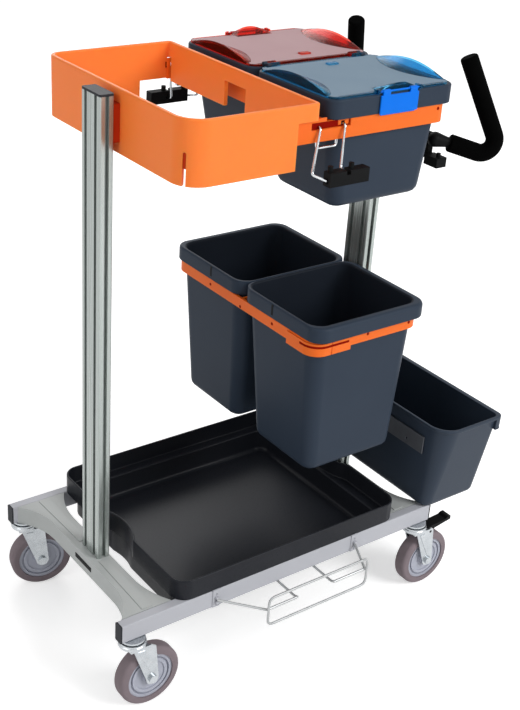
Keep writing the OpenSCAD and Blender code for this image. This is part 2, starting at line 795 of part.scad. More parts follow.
module bag_hoop() {
    low_strip = hoop_z1 - hoop_strip_h;
    apron = hoop_z1 - 72;
    color([0.96, 0.46, 0.18]) difference() {
        raised(hoop_z0, hoop_z1) hoop_plan(0);
        raised(hoop_z0 - 1, hoop_z1 + 1) hoop_plan(hoop_wall);
        block([hoop_step, hoop_x1 + 1], [-hoop_half - 1, -hoop_half + 22], [hoop_z0 - 1, low_strip]);
        block([hoop_x1 - hoop_far_l, hoop_x1 + 1], [hoop_half - hoop_wall, hoop_half + 1],
              [hoop_z0 - 1, frame_z0]);
        block([hoop_x1 - 12, hoop_x1 + 1], [hoop_half - hoop_wall, hoop_half + 1],
              [hoop_z0 - 1, low_strip]);
        block([hoop_x1 - hoop_wall - 3, hoop_x1 + 1], [frame_half - frame_wall - 2.5, hoop_half - hoop_wall],
              [hoop_z0 - 1, low_strip]);
        block([hoop_x1 - 30, hoop_x1 + 1], [-hoop_half, hoop_half], [hoop_z0 - 1, apron]);
        block([hoop_x1 - 30, hoop_x1 + 1], [-28, 35], [apron - 1, hoop_z1 - 27.5]);
        translate([hoop_x0 + hoop_wide_r, -hoop_half + hoop_wide_r, hoop_z0]) rotate([0, 0, slit_turn]) {
            translate([hoop_wide_r - hoop_wall - 4, 0, 0]) rotate([90, 0, 90]) {
                linear_extrude(hoop_wall + 8) slit_plan();
            }
        }
        for (y = [-slot_y, slot_y]) {
            x_rod([hoop_x0 - 1, hoop_x0 + hoop_wall + 1], y, hoop_screw_z, screw_hole);
        }
    }
}

module hoop_bracket() {
    color([0.93, 0.33, 0.08]) difference() {
        block([-post_face, hoop_x0], [-28, 28], [hoop_z0 + 20, hoop_z0 + 84]);
        for (y = [-slot_y, slot_y]) {
            x_rod([-post_face - 1, hoop_x0 + 1], y, hoop_screw_z, screw_hole);
        }
    }
}

// Upper boxes

// Recess in the near band for a tool holder, with the two slots that its wires hook through
module tool_holder_seat() {
    skin = -frame_half;
    block([frame_x0 - 38, frame_x0 + 44], [skin - 1, skin + frame_wall - 2], [frame_z1 - 12, frame_z1 + 7]);
    for (sx = tool_slot_x) {
        block([sx - 4, sx + 4], [skin - 1, skin + frame_wall + 1], [tool_slot_z - 4, tool_slot_z + 4]);
    }
}

module box_frame() {
    x = [frame_x0, frame_x1];
    wall_y = [frame_half - frame_wall, frame_half];
    color([0.96, 0.46, 0.18]) difference() {
        union() {
            ring_wall(x, [-frame_half, frame_half], frame_r, frame_r, frame_wall, frame_z0, frame_z1);
            block([frame_x0 + 1, frame_x1 - 1], [-2, 2], [frame_z0, frame_z1]);
            for (m = [0, 1]) {
                arm_x = m == 1 ? hoop_step - 2 : hoop_x1 - hoop_wall - 6;
                mirror([0, m, 0]) {
                    block([arm_x, frame_x0 + frame_r + 2], wall_y, [frame_z0, frame_z1]);
                    block([arm_x, frame_x0 - 5], wall_y, [frame_z1 - 1, frame_z1 + 6]);
                }
            }
        }
        tool_holder_seat();
        turned_round() tool_holder_seat();
        for (m = [0, 1]) {
            mirror([0, m, 0]) y_rod(frame_x1 - 23, wall_y + [-1, 1], tool_slot_z, 2.4);
        }
        for (y = [-slot_y, slot_y]) {
            x_rod([frame_x1 - frame_wall - 1, frame_x1 + 1], y, frame_screw_z, screw_hole);
            x_rod([frame_x1 - frame_wall - 1, frame_x1 - 1.8], y, frame_screw_z, head_r + 0.3);
        }
    }
}

module box_frame_bracket() {
    color([0.2, 0.2, 0.21]) difference() {
        block([frame_x1, post_face], [-28, 28], [frame_z0 + 1, right_top - 1]);
        for (y = [-slot_y, slot_y]) {
            x_rod([frame_x1 - 1, post_face + 1], y, frame_screw_z, screw_hole);
        }
    }
}

module upper_box() {
    wall = tub_wall;
    color([0.20, 0.22, 0.26]) difference() {
        union() {
            raised(collar_z0, collar_z1) round_plan(collar_x, collar_y, 24, 24);
            tub_body(box_top_x, box_top_y, box_low_x, box_low_y, box_z0, collar_z1 - 1, [20, 20], 26);
            for (x = lug_x) {
                x_rod([x - lug_w / 2, x + lug_w / 2], hinge_y, hinge_z, hinge_r);
                block([x - lug_w / 2, x + lug_w / 2], [hinge_y - 2.5, hinge_y + 2.5],
                      [collar_z1 - 1, hinge_z]);
            }
        }
        tub_hollow(box_top_x, box_top_y, box_low_x, box_low_y, box_z0, collar_z1 + 1, [20, 20], 26, wall);
        block([frame_x1 - frame_wall + 3, collar_x[1] - 3], [collar_y[0] + 24, collar_y[1] - 24],
              [collar_z0 - 1, collar_z1 - 4]);
        for (x = lug_x) {
            x_rod([x - lug_w, x + lug_w], hinge_y, hinge_z, hinge_pin + fit);
        }
    }
}

// Space under an arched lid end: below the arch across the cart and below the slope along it
module lid_arch(high_end, less) {
    way = sign(high_end - lid_mid);
    half = (lid_y[1] - lid_y[0]) / 2 - 5;
    mid = (lid_y[0] + lid_y[1]) / 2;
    r = (half * half + lid_rise * lid_rise) / (2 * lid_rise);
    root = high_end - way * lid_arch_l;
    face = high_end - way * (1.5 + less);
    base = less > 0 ? lid_z0 - 1 : lid_z0 + 1;
    intersection() {
        x_rod([lid_x[0] - 1, lid_x[1] + 1], mid, lid_z1 + lid_rise - r, r - less, $fn = 180);
        translate([0, mid + half, 0]) rotate([90, 0, 0]) linear_extrude(2 * half) {
            polygon([[root, base], [face, base], [face, lid_z1 + lid_rise - less * 1.1],
                     [root, lid_z1 - 1 - less * 1.1]]);
        }
    }
}

// Arch on a lid's edge that makes room for a finger over the latch
module latch_arch() {
    half = latch_l / 2 - 2;
    r = (half * half + latch_rise * latch_rise) / (2 * latch_rise);
    edge = lid_y[0] + 1.5;
    root = lid_y[0] + 27;
    intersection() {
        y_rod(latch_x, [lid_y[0] - 1, lid_y[1]], lid_z1 + latch_rise - r, r, $fn = 180);
        translate([latch_x - half - 1, 0, 0]) rotate([90, 0, 90]) linear_extrude(2 * half + 2) {
            polygon([[edge, lid_z0 + 1], [root, lid_z0 + 1], [root, lid_z1 - 1],
                     [edge, lid_z1 + latch_rise]]);
        }
    }
}

module lid() {
    barrel = [lug_x[0] + lug_w / 2 + 0.4, lug_x[1] - lug_w / 2 - 0.4];
    pins = [lug_x[0] - lug_w / 2, lug_x[1] + lug_w / 2];
    half = latch_l / 2;
    difference() {
        union() {
            raised(lid_z0, lid_z1) round_plan(lid_x, lid_y, 18, 18);
            for (x = lid_x) {
                lid_arch(x, 0);
            }
            x_rod([barrel[0], barrel[0] + 18], hinge_y, hinge_z, hinge_r);
            x_rod([barrel[1] - 18, barrel[1]], hinge_y, hinge_z, hinge_r);
            latch_arch();
            block([latch_x - 11, latch_x + 11], [-45, -34], [lid_z1 - 1, lid_z1 + 3]);
            for (x = [latch_x - half - ear_w - 0.4, latch_x + half + 0.4]) {
                block([x, x + ear_w], [latch_pin_y, lid_y[0] + 6], [lid_z0, hinge_z + 3.5]);
                x_rod([x, x + ear_w], latch_pin_y, hinge_z, 4);
            }
        }
        for (x = lid_x) {
            lid_arch(x, 3);
        }
        for (x = lug_x) {
            block([x - lug_w / 2 - 0.4, x + lug_w / 2 + 0.4], [hinge_y - 5.5, 0],
                  [lid_z0 - 1, hinge_z + 6]);
        }
        block([latch_x - half - 0.4, latch_x + half + 0.4], [latch_pin_y - 6, latch_pin_y + 4.6],
              [lid_z0 - 1, hinge_z + 6]);
        x_rod([latch_x - half - ear_w - 1, latch_x + half + ear_w + 1],
              latch_pin_y, hinge_z, latch_pin + fit);
    }
    x_rod([pins[0], barrel[0] + 1], hinge_y, hinge_z, hinge_pin);
    x_rod([barrel[1] - 1, pins[1]], hinge_y, hinge_z, hinge_pin);
}

module latch() {
    half = latch_l / 2;
    skin = collar_y[0] - 0.5;
    low = collar_z0 - 3.2;
    x_rod([latch_x - half, latch_x + half], latch_pin_y, hinge_z, 4);
    x_rod([latch_x - half - ear_w, latch_x + half + ear_w], latch_pin_y, hinge_z, latch_pin);
    block([latch_x - half, latch_x + half], [skin - 3.5, skin], [low, hinge_z]);
    block([latch_x - half + 4, latch_x + half - 4], [skin - 1, skin + 2.2], [low, collar_z0 - 0.6]);
}

module near_box() upper_box();
module far_box() far_side() upper_box();
module near_lid() color([0.40, 0.55, 0.72, 0.6]) lid();
module far_lid() color([0.75, 0.45, 0.47, 0.6]) far_side() lid();
module near_latch() color([0.10, 0.35, 0.75]) latch();
module far_latch() color([0.75, 0.12, 0.15]) far_side() latch();

// Bins

// Clasp that wraps the near corner of the bin frame, parted in its middle
module bin_clasp() {
    low = bin_frame_z - 6;
    top = bin_frame_z1 - 3;
    skin = -bin_half - 3;
    reach = [bin_x0 + 84, -bin_half + 75];
    part_x = bin_x0 + 40;
    difference() {
        intersection() {
            ring_wall([bin_x0 - 3, bin_x1 + 3], [-bin_half - 3, bin_half + 3], 31, 31, 5, low, top);
            block([bin_x0 - 4, reach[0]], [skin - 1, reach[1]], [low - 1, top + 1]);
        }
        block([part_x - 1, part_x + 1], [skin - 1, skin + 1.6], [low - 1, top + 1]);
        for (x = [[bin_x0 + 8, part_x - 3], [part_x + 3, reach[0] - 6]]) {
            block(x, [skin - 1, skin + 1.6], [top - 8, top - 5]);
        }
    }
}

module bin_frame() {
    color([0.96, 0.46, 0.18]) difference() {
        union() {
            ring_wall([bin_x0, bin_x1], [-bin_half, bin_half], 28, 28, 5, bin_frame_z, bin_frame_z1);
            block([bin_x0 + 1, bin_x1 - 1], [-2, 2], [bin_frame_z, bin_frame_z1]);
            bin_clasp();
        }
        for (y = [-100, 100]) {
            x_rod([bin_x0 - 1, bin_x0 + 6], y, bin_screw_z, 2);
        }
        for (x = [bin_x0 + 126, bin_x0 + 226], m = [0, 1]) {
            mirror([0, m, 0]) y_rod(x, [bin_half - 6, bin_half + 1], bin_screw_z + 3, 2);
        }
        for (y = [-slot_y, slot_y]) {
            x_rod([bin_x1 - 6, bin_x1 + 1], y, bin_screw_z, screw_hole);
            x_rod([bin_x1 - 6, bin_x1 - 1.8], y, bin_screw_z, head_r + 0.3);
        }
    }
}

module bin_frame_bracket() {
    color([0.2, 0.2, 0.21]) difference() {
        block([bin_x1, post_face], [-28, 28], [bin_frame_z - 6, bin_frame_z1 - 1]);
        for (y = [-slot_y, slot_y]) {
            x_rod([bin_x1 - 1, post_face + 1], y, bin_screw_z, screw_hole);
        }
    }
}

module open_bin() {
    color([0.21, 0.23, 0.27]) difference() {
        union() {
            raised(bin_rim_z0, bin_z1) round_plan(bin_rim_x, bin_rim_y, 30, 30);
            tub_body(bin_top_x, bin_top_y, bin_low_x, bin_low_y, bin_z0, bin_z1 - 1, [30, 26], 24);
        }
        tub_hollow(bin_top_x, bin_top_y, bin_low_x, bin_low_y, bin_z0, bin_z1 + 1, [30, 26], 24, tub_wall);
    }
}

module near_bin() open_bin();
module far_bin() far_side() open_bin();

// Side bucket

module side_bucket() {
    top_x = [bucket_x0, bucket_x1];
    top_y = [-bucket_half, bucket_half];
    low_x = [bucket_x0 + 5, bucket_x1 - 2];
    low_y = [-bucket_half + 31, bucket_half - 31];
    lip = [bucket_x1 - 18, bucket_x1 + 8];
    lip_half = bucket_half + 3;
    hook = [strip_x0 - 3.3, strip_x0 - 0.3];
    color([0.21, 0.23, 0.27]) {
        difference() {
            union() {
                tub_body(top_x, top_y, low_x, low_y, bucket_z0, bucket_z1, [45, 14], 22);
                raised(bucket_z1 - 30, bucket_z1) round_plan(lip, [-lip_half, lip_half], 2, 14);
            }
            tub_hollow(top_x, top_y, low_x, low_y, bucket_z0, bucket_z1, [45, 14], 22, tub_wall);
            block([bucket_x1 + 0.5, lip[1] - 2.5], [-lip_half + 16, lip_half - 16],
                  [bucket_z1 - 33, bucket_z1 - 3]);
        }
        for (y = [-hook_y, hook_y]) {
            wide = [y - hook_w / 2, y + hook_w / 2];
            block([hook[0], bucket_x0 + tub_wall], wide, [strip_z1 + seat, strip_z1 + seat + 3]);
            block(hook, wide, [strip_z1 - 12, strip_z1 + seat + 3]);
        }
    }
}

module bucket_bracket() {
    leg = post_w / 2 + 0.1;
    mid = (strip_z0 + strip_z1) / 2;
    color([0.72, 0.73, 0.75]) difference() {
        union() {
            block([strip_x0, strip_x1], [-strip_l / 2, strip_l / 2], [strip_z0, strip_z1]);
            for (m = [0, 1]) {
                mirror([0, m, 0]) {
                    block([post_x - 9, strip_x1], [leg, leg + 3], [strip_z0 + 4, strip_z1 - 4]);
                }
            }
        }
        for (y = [-strip_l / 2 + 48, strip_l / 2 - 48]) {
            x_rod([strip_x0 - 1, strip_x1 + 1], y, mid - 6, 3);
        }
        y_rod(post_x, [-leg - 4, leg + 4], mid, screw_hole);
    }
}

// Fasteners in the post slots

// Places of the bracket screws: head side point, direction along x and length
screw_spots = [
    [hoop_x0 + hoop_wall, hoop_screw_z, -1, hoop_wall + hoop_gap + 5.5],
    [frame_x1 - 1.8, frame_screw_z, 1, 1.8 + frame_gap + 5.5],
    [bin_x1 - 1.8, bin_screw_z, 1, 1.8 + post_face - bin_x1 + 5.5],
    [bar_x + 13, handle_screw_z, -1, bar_x + 13 - post_back + 5.5]
];
screw_faces = [-post_face, post_face, post_face, post_back];

// Screw with its head's underside at the origin, pointing along +z
module screw(l) {
    translate([0, 0, -1]) cylinder(r = screw_r, h = l + 1);
    translate([0, 0, -head_h]) cylinder(r = head_r, h = head_h);
}

module bracket_screws() {
    leg = post_w / 2 + 3.1;
    mid = (strip_z0 + strip_z1) / 2;
    color([0.62, 0.63, 0.65]) {
        for (s = screw_spots, y = [-slot_y, slot_y]) {
            translate([s[0], y, s[1]]) rotate([0, 90 * s[2], 0]) screw(s[3]);
        }
        for (m = [0, 1]) {
            mirror([0, m, 0]) translate([post_x, leg, mid]) rotate([90, 0, 0]) screw(8.6);
        }
    }
}

// Nut lying in a slot that opens toward +z, with the post's face at the origin
module slot_nut() {
    thick = slot_depth - slot_lip - 0.4;
    difference() {
        translate([-8, -pocket_w / 2 + 0.2, -slot_lip - 0.2 - thick]) cube([16, pocket_w - 0.4, thick]);
        translate([0, 0, -10]) cylinder(r = screw_r + fit, h = 12);
    }
}

module slot_nuts() {
    mid = (strip_z0 + strip_z1) / 2;
    color([0.55, 0.55, 0.56]) {
        for (k = [0 : 3], y = [-slot_y, slot_y]) {
            translate([screw_faces[k], y, screw_spots[k][1]]) {
                rotate([0, -90 * screw_spots[k][2], 0]) slot_nut();
            }
        }
        for (m = [0, 1]) {
            mirror([0, m, 0]) translate([post_x, post_w / 2, mid]) rotate([-90, 90, 0]) slot_nut();
        }
    }
}

// Handles

module handle_bar() {
    color([0.10, 0.10, 0.11]) y_rod(bar_x, [-bar_half, bar_half], bar_z, bar_d / 2);
}

module handle_bracket() {
    color([0.12, 0.12, 0.13]) difference() {
        block([post_back, bar_x + 13], [-29, 29], [bar_z - 18, handle_bracket_z1]);
        y_rod(bar_x, [-31, 31], bar_z, bar_d / 2 + fit);
        for (y = [-slot_y, slot_y]) {
            x_rod([post_back - 1, bar_x + 14], y, handle_screw_z, screw_hole);
        }
    }
}

// Knuckle at the near end of the handle bar, a ball narrowing toward the handle
module near_knuckle() {
    way = neck - knuckle;
    reach = norm(way) + 8;
    ball = [for (a = [-80 : 10 : 20]) knuckle_r * [cos(a), sin(a)]];
    difference() {
        translate(knuckle) rotate(aim(way)) rotate_extrude() {
            polygon(concat([[0, ball[0][1]]], ball, [[tube_d / 2 - 2, reach], [0, reach]]));
        }
        translate(neck) rotate(aim(elbow - neck)) translate([-30, -30, 0]) cube([60, 60, 30]);
        block([bar_x - 40, bar_x + 60], [-bar_half, -bar_half + 40], [bar_z - 40, bar_z + 40]);
    }
}

module handle_knuckles() {
    color([0.09, 0.09, 0.10]) {
        near_knuckle();
        far_side() near_knuckle();
    }
}

// Bent line of the handle, starting past the neck and stopping short of the grip's top
function handle_line(past, short) = concat(
    [neck + past * unit(elbow - neck)],
    round_bend(neck, elbow, grip_top, handle_bend, 8),
    [grip_top - short * unit(grip_top - elbow)]);

module near_handle_tube() {
    color([0.25, 0.25, 0.26]) swept(handle_line(0.2, 4), tube_d / 2, 24);
}

module far_handle_tube() far_side() near_handle_tube();

module near_grip() {
    color([0.07, 0.07, 0.08]) sleeve(handle_line(2.5, 0), grip_d / 2, tube_d / 2 + 0.35, 3.4, 24);
}

module far_grip() far_side() near_grip();

// Tool holders

module near_tool_wires() {
    r = tool_wire / 2;
    out = -frame_half - r - 0.8;
    inside = -frame_half + frame_wall + r + 0.8;
    slot_l = tool_slot_x[0];
    slot_r = tool_slot_x[1];
    z = tool_slot_z;
    low = tool_clip_at[2];
    under = frame_z0 - 13;
    loop_x = [frame_x0 - 18, frame_x0 + 23];
    block_x = tool_clip_at[0] - clip_block[0] / 2;
    left = [[loop_x[1], inside, z - 14], [loop_x[1], inside, under], [loop_x[0], inside, under],
            [slot_l, inside, z], [slot_l, out, z],
            [slot_l - 22, out - 15, low + 2], [block_x + 0.2, tool_clip_at[1], low - 3]];
    right = [[slot_r, -frame_half + frame_wall + 1.2, z], [slot_r, out, z], [slot_r - 14, out - 15, low + 4],
             [slot_r - 16, tool_clip_at[1] + clip_block[1] / 2 - 1, low]];
    reach = min(5, 0.45 * (inside - out));
    swept(bent_path(left, reach, 4), r);
    swept(bent_path(right, reach, 4), r);
}

module tool_holder_wires() {
    color([0.80, 0.81, 0.82]) {
        near_tool_wires();
        turned_round() near_tool_wires();
    }
}

module near_tool_clip() {
    half = clip_block / 2;
    translate(tool_clip_at) difference() {
        union() {
            translate(-half) cube(clip_block);
            for (x = [-34, 10]) {
                translate([x, 2, half[2] - 1]) cylinder(r = 4.5, h = 10);
            }
        }
        block([-7, 1], [-half[1] - 1, half[1] + 1], [half[2] - 7, half[2] + 1]);
        translate([-half[0] - 1, 0, -3]) rotate([0, 90, 0]) cylinder(r = tool_wire / 2 + 2.6, h = 3.6);
        translate([tool_slot_x[1] - 16 - tool_clip_at[0], half[1] - 4, 0]) rotate([-90, 0, 0]) {
            cylinder(r = tool_wire / 2 + 1, h = 5);
        }
    }
}

module tool_clips() {
    color([0.06, 0.06, 0.07]) {
        near_tool_clip();
        turned_round() near_tool_clip();
        translate(rear_clip_at) {
            translate([-12, -14, -9]) cube([24, 34, 18]);
            translate([0, -4, 8]) cylinder(r = 4, h = 8);
            translate([-6, 19, 0]) cube([12, 15, bar_z - bar_d / 2 - rear_clip_at[2] - fit]);
        }
    }
}

near_rail();
far_rail();
rail_end_caps();
left_cross_member();
right_cross_member();
foot_inserts();
left_post();
right_post();
post_caps();
post_bolts();
caster_heads();
wire_basket();
basket_clips();
bag_hoop();
hoop_bracket();
box_frame();
box_frame_bracket();
bin_frame();
bin_frame_bracket();
bucket_bracket();
bracket_screws();
slot_nuts();
handle_bar();
handle_bracket();
handle_knuckles();
near_handle_tube();
far_handle_tube();
near_grip();
far_grip();
tool_holder_wires();
tool_clips();
tray();
near_box();
far_box();
near_lid();
far_lid();
near_latch();
far_latch();
near_bin();
far_bin();
side_bucket();
near_left_fork();
near_left_axle();
near_left_hub();
near_left_tyre();
far_left_fork();
far_left_axle();
far_left_hub();
far_left_tyre();
near_right_fork();
near_right_axle();
near_right_hub();
near_right_tyre();
far_right_fork();
far_right_axle();
far_right_hub();
far_right_tyre();
near_brake_pedal();
far_brake_pedal();
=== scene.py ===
import math

import bmesh
import bpy
from mathutils import Matrix, Vector


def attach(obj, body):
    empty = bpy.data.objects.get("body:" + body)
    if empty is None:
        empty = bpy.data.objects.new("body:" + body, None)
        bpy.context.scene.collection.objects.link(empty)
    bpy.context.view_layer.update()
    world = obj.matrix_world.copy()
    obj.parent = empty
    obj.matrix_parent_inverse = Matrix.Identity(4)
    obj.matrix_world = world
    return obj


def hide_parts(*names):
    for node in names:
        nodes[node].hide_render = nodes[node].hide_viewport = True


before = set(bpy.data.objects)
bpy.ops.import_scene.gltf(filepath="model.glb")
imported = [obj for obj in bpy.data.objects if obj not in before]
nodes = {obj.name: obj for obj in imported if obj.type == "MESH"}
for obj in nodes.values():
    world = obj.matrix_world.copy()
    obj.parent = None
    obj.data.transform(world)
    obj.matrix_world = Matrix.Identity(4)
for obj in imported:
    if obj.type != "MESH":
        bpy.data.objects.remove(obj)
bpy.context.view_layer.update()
scene = bpy.context.scene

# Pieces are modelled in millimetres in the frame of the part and scaled to metres when they are finished
MM = 0.001
# Points nearer than this, in metres, count as one
SAME_POINT = 0.00001


# Material helpers

# Sockets of the Mix node when it mixes colours
MIX_SHARE = 0
MIX_FIRST = 6
MIX_SECOND = 7
MIX_COLOUR = 2
CLOUD_DETAIL = 3.0
GRAIN_DETAIL = 2.0
# Noise values over which the roughness goes from its lowest to its highest
GRAIN_SPREAD = (0.3, 0.7)


def linear(hex_colour):
    """sRGB hex to the linear colour that shaders take."""
    parts = [int(hex_colour[k:k + 2], 16) / 255 for k in (1, 3, 5)]
    return tuple(c / 12.92 if c <= 0.04045 else ((c + 0.055) / 1.055) ** 2.4 for c in parts) + (1.0,)


def add(tree, kind, inputs=None, **settings):
    """Adds a node with its settings, and its inputs as values or links."""
    made = tree.nodes.new(kind)
    for name, value in settings.items():
        setattr(made, name, value)
    for socket, value in (inputs or {}).items():
        if isinstance(value, bpy.types.NodeSocket):
            tree.links.new(value, made.inputs[socket])
        else:
            made.inputs[socket].default_value = value
    return made


def empty_tree(owner):
    """Node tree of a material or a world, with nothing in it yet."""
    owner.use_nodes = True
    owner.node_tree.nodes.clear()
    return owner.node_tree


def per_metre(size_mm):
    """Texture scale at which one feature is about this many millimetres across."""
    return 1000 / size_mm


def surface(name, dark, light, shader, cloud_mm, grain_mm, bump, rough, stretch=(1, 1, 1)):
    """Material whose colour drifts between two tones over clouds, with a fine grain in height and roughness.

    bump gives the strength and the depth in millimetres, rough the lowest and the highest roughness.
    """
    material = bpy.data.materials.new(name)
    tree = empty_tree(material)
    place = add(tree, "ShaderNodeTexCoord")
    turned = add(tree, "ShaderNodeMapping", {"Vector": place.outputs["Object"], "Scale": stretch})
    clouds = add(tree, "ShaderNodeTexNoise",
                 {"Vector": turned.outputs["Vector"], "Scale": per_metre(cloud_mm), "Detail": CLOUD_DETAIL})
    grain = add(tree, "ShaderNodeTexNoise",
                {"Vector": turned.outputs["Vector"], "Scale": per_metre(grain_mm), "Detail": GRAIN_DETAIL})
    tone = add(tree, "ShaderNodeMix",
               {MIX_SHARE: clouds.outputs["Fac"], MIX_FIRST: linear(dark), MIX_SECOND: linear(light)},
               data_type="RGBA")
    gloss = add(tree, "ShaderNodeMapRange",
                {"Value": grain.outputs["Fac"], "From Min": GRAIN_SPREAD[0], "From Max": GRAIN_SPREAD[1],
                 "To Min": rough[0], "To Max": rough[1]})
    relief = add(tree, "ShaderNodeBump",
                 {"Height": grain.outputs["Fac"], "Strength": bump[0], "Distance": bump[1] * MM})
    body = add(tree, "ShaderNodeBsdfPrincipled",
               {"Base Color": tone.outputs[MIX_COLOUR], "Roughness": gloss.outputs["Result"],
                "Normal": relief.outputs["Normal"], **shader})
    add(tree, "ShaderNodeOutputMaterial", {"Surface": body.outputs["BSDF"]})
    return material


# Materials

# Moulded grain breaks up the mirror of the sky, so dull plastics take a lower specular level
UNLIT = {"IOR": 1.45, "Specular IOR Level": 0.02}
DULL = {"IOR": 1.49, "Specular IOR Level": 0.08}
LOW_SHINE = {"IOR": 1.5, "Specular IOR Level": 0.10}
MOULDED = {"IOR": 1.49, "Specular IOR Level": 0.13}
GRAINED = {"IOR": 1.49, "Specular IOR Level": 0.16}
SATIN = {"IOR": 1.5, "Specular IOR Level": 0.25}
# Orange walls glow a little where light soaks into them, redder the deeper it goes
SOAKED = {"IOR": 1.5, "Specular IOR Level": 0.15, "Subsurface Weight": 0.5, "Subsurface Scale": 0.02,
          "Subsurface Radius": (1.0, 0.35, 0.1)}
SKIN_SOAKED = {**SOAKED, "Subsurface Weight": 0.3, "Subsurface Scale": 0.006}
# Thin clear plastic bends light little, so its refraction is set lower than that of a thick piece
CLEAR = {"IOR": 1.12, "Specular IOR Level": 0.3, "Transmission Weight": 0.95}
METAL = {"Metallic": 1.0}
# Oxide, coat or scale scatters some of the light before it meets the metal
ANODISED = {"Metallic": 0.6}
COATED = {"Metallic": 0.55}
ROLLED = {"Metallic": 0.8}

# Powder-coated steel tube: light grey, satin, with a fine orange peel
rail_paint = surface("powder_coated_steel", "#adaeb5", "#b6b8be", SATIN,
                     160, 1.6, (0.10, 0.3), (0.38, 0.50))
# Painted aluminium casting: the same grey, a little duller and rougher to the light
cast_paint = surface("painted_casting", "#abafae", "#b6b9b8", SATIN,
                     90, 2.4, (0.22, 0.4), (0.45, 0.60))
# Moulded polypropylene, charcoal: end caps and brackets
dark_plastic = surface("charcoal_polypropylene", "#2a2c30", "#313338", DULL,
                       60, 1.2, (0.15, 0.2), (0.42, 0.55))
# Moulded polypropylene, black: tray, satin from its fine mould grain
tray_plastic = surface("black_polypropylene", "#191b20", "#212329", MOULDED,
                       140, 1.4, (0.12, 0.2), (0.26, 0.36))
# Glass-filled nylon, black: handle fittings, brake pedals, foot inserts
black_nylon = surface("black_nylon", "#0b0b0c", "#121314", DULL,
                      40, 1.0, (0.2, 0.2), (0.45, 0.60))
# Anodised extruded aluminium: satin metal in light and dark 11 mm bands along the post that are painted
# reflection, die lines drawn 1.6 mm wide to show
post_aluminium_painted_reflection = surface("anodised_aluminium", "#8b928f", "#b9c0bd", ANODISED,
                         11, 1.6, (0.06, 0.1), (0.20, 0.30), (1, 1, 0.01))
# Bright zinc plate on pressed steel: a clean metal with faint clouds in its shine
zinc = surface("zinc_plated_steel", "#a9aeb2", "#c6cacd", METAL,
               14, 2.0, (0.05, 0.1), (0.20, 0.34))
# Non-marking thermoplastic rubber: warm grey, dull
tyre_rubber = surface("grey_thermoplastic_rubber", "#7a6f73", "#867a7f", DULL,
                      30, 1.2, (0.25, 0.3), (0.60, 0.75))
# Moulded polypropylene, pale grey: wheel cores
core_plastic = surface("pale_grey_polypropylene", "#a4a7b3", "#b2b5c1", SATIN,
                       40, 1.2, (0.10, 0.2), (0.40, 0.52))
# Galvanised wire with a clear coat: pale metal
basket_wire = surface("coated_wire", "#a4a6a7", "#bcbebf", COATED,
                      25, 1.5, (0.08, 0.1), (0.30, 0.42))
# Moulded ABS, orange: smooth satin with a faint flow drift, paler on the hoop than on the two frames
hoop_orange = surface("pale_orange_abs", "#fa8036", "#fe873d", SOAKED,
                      120, 1.3, (0.08, 0.2), (0.36, 0.46))
frame_orange = surface("orange_abs", "#e6681e", "#eb6f25", SKIN_SOAKED,
                       120, 1.3, (0.08, 0.2), (0.36, 0.46))
# Orange plastic at the bottom of the hoop's slit and in the gap behind its post, darkened with painted half
# shade
painted_half_shade_orange = surface("half_shaded_orange_abs", "#b5300f", "#be3612", DULL,
                      40, 1.3, (0.08, 0.2), (0.50, 0.62))
# Orange plastic inside narrow holes and slots, where no light reaches
shaded_orange = surface("shaded_orange_abs", "#7c0d04", "#8a1206", UNLIT,
                        40, 1.3, (0.08, 0.2), (0.50, 0.62))
# Moulded polypropylene, slate: fine spark-eroded grain that keeps highlights soft
slate_plastic = surface("slate_polypropylene", "#2a3340", "#313b48", DULL,
                        150, 1.3, (0.22, 0.25), (0.38, 0.52))
# The bucket has the same plastic with a little more shine
bucket_plastic = surface("satin_slate_polypropylene", "#2b3441", "#323c49", GRAINED,
                         150, 1.3, (0.22, 0.25), (0.38, 0.52))
# The same plastic inside the bins, rougher, and darkened there as painted shade
slate_painted_inner_shade = surface("slate_polypropylene_painted_inner_shade", "#171c24", "#1c222b", DULL,
                       150, 1.3, (0.22, 0.25), (0.50, 0.62))
# Frosted polypropylene lid panel, blue and red: cloudy, pale where its grain scatters the light
blue_frost = surface("blue_frosted_polypropylene", "#768b9d", "#8195a5", LOW_SHINE,
                     110, 1.2, (0.15, 0.2), (0.58, 0.70))
red_frost = surface("red_frosted_polypropylene", "#b69497", "#c0a0a3", LOW_SHINE,
                    110, 1.2, (0.15, 0.2), (0.58, 0.70))
# Clear polished polypropylene at the lid ends, blue and red: seen through twice, so its own colour is pale
blue_clear = surface("blue_clear_polypropylene", "#4fb0dc", "#5ab8e2", CLEAR,
                     60, 3.0, (0.02, 0.1), (0.14, 0.22))
red_clear = surface("red_clear_polypropylene", "#e04a38", "#e85442", CLEAR,
                    60, 3.0, (0.02, 0.1), (0.14, 0.22))
# Moulded ABS latch, bright blue and red
blue_plastic = surface("blue_abs", "#0068d6", "#0271e2", LOW_SHINE,
                       50, 1.5, (0.06, 0.1), (0.28, 0.38))
red_plastic = surface("red_abs", "#ad0f18", "#bd1820", LOW_SHINE,
                      50, 1.5, (0.06, 0.1), (0.28, 0.38))
# Closed-cell foam sleeve: black, dull, with cells drawn 1.8 mm across so that they show
foam = surface("black_closed_cell_foam", "#030303", "#060606", UNLIT,
               18, 1.8, (0.5, 0.5), (0.80, 0.95))
# Moulded rubber clips: black and dull
rubber = surface("black_rubber", "#08090a", "#101112", DULL,
                 20, 1.2, (0.25, 0.2), (0.55, 0.72))
# Bright chromed wire
tool_wire = surface("chromed_wire", "#b9bcbf", "#d0d3d6", METAL,
                    20, 2.0, (0.02, 0.1), (0.12, 0.20))
# Rolled steel strip, dull zinc
strip_steel = surface("rolled_steel_strip", "#5f6268", "#72757b", ROLLED,
                      25, 1.6, (0.10, 0.1), (0.38, 0.50))


# Mesh helpers

CORNER_STEPS = 8
ROUND_STEPS = 4
EASE_STEPS = 2
ROUND_PROFILE = 0.5
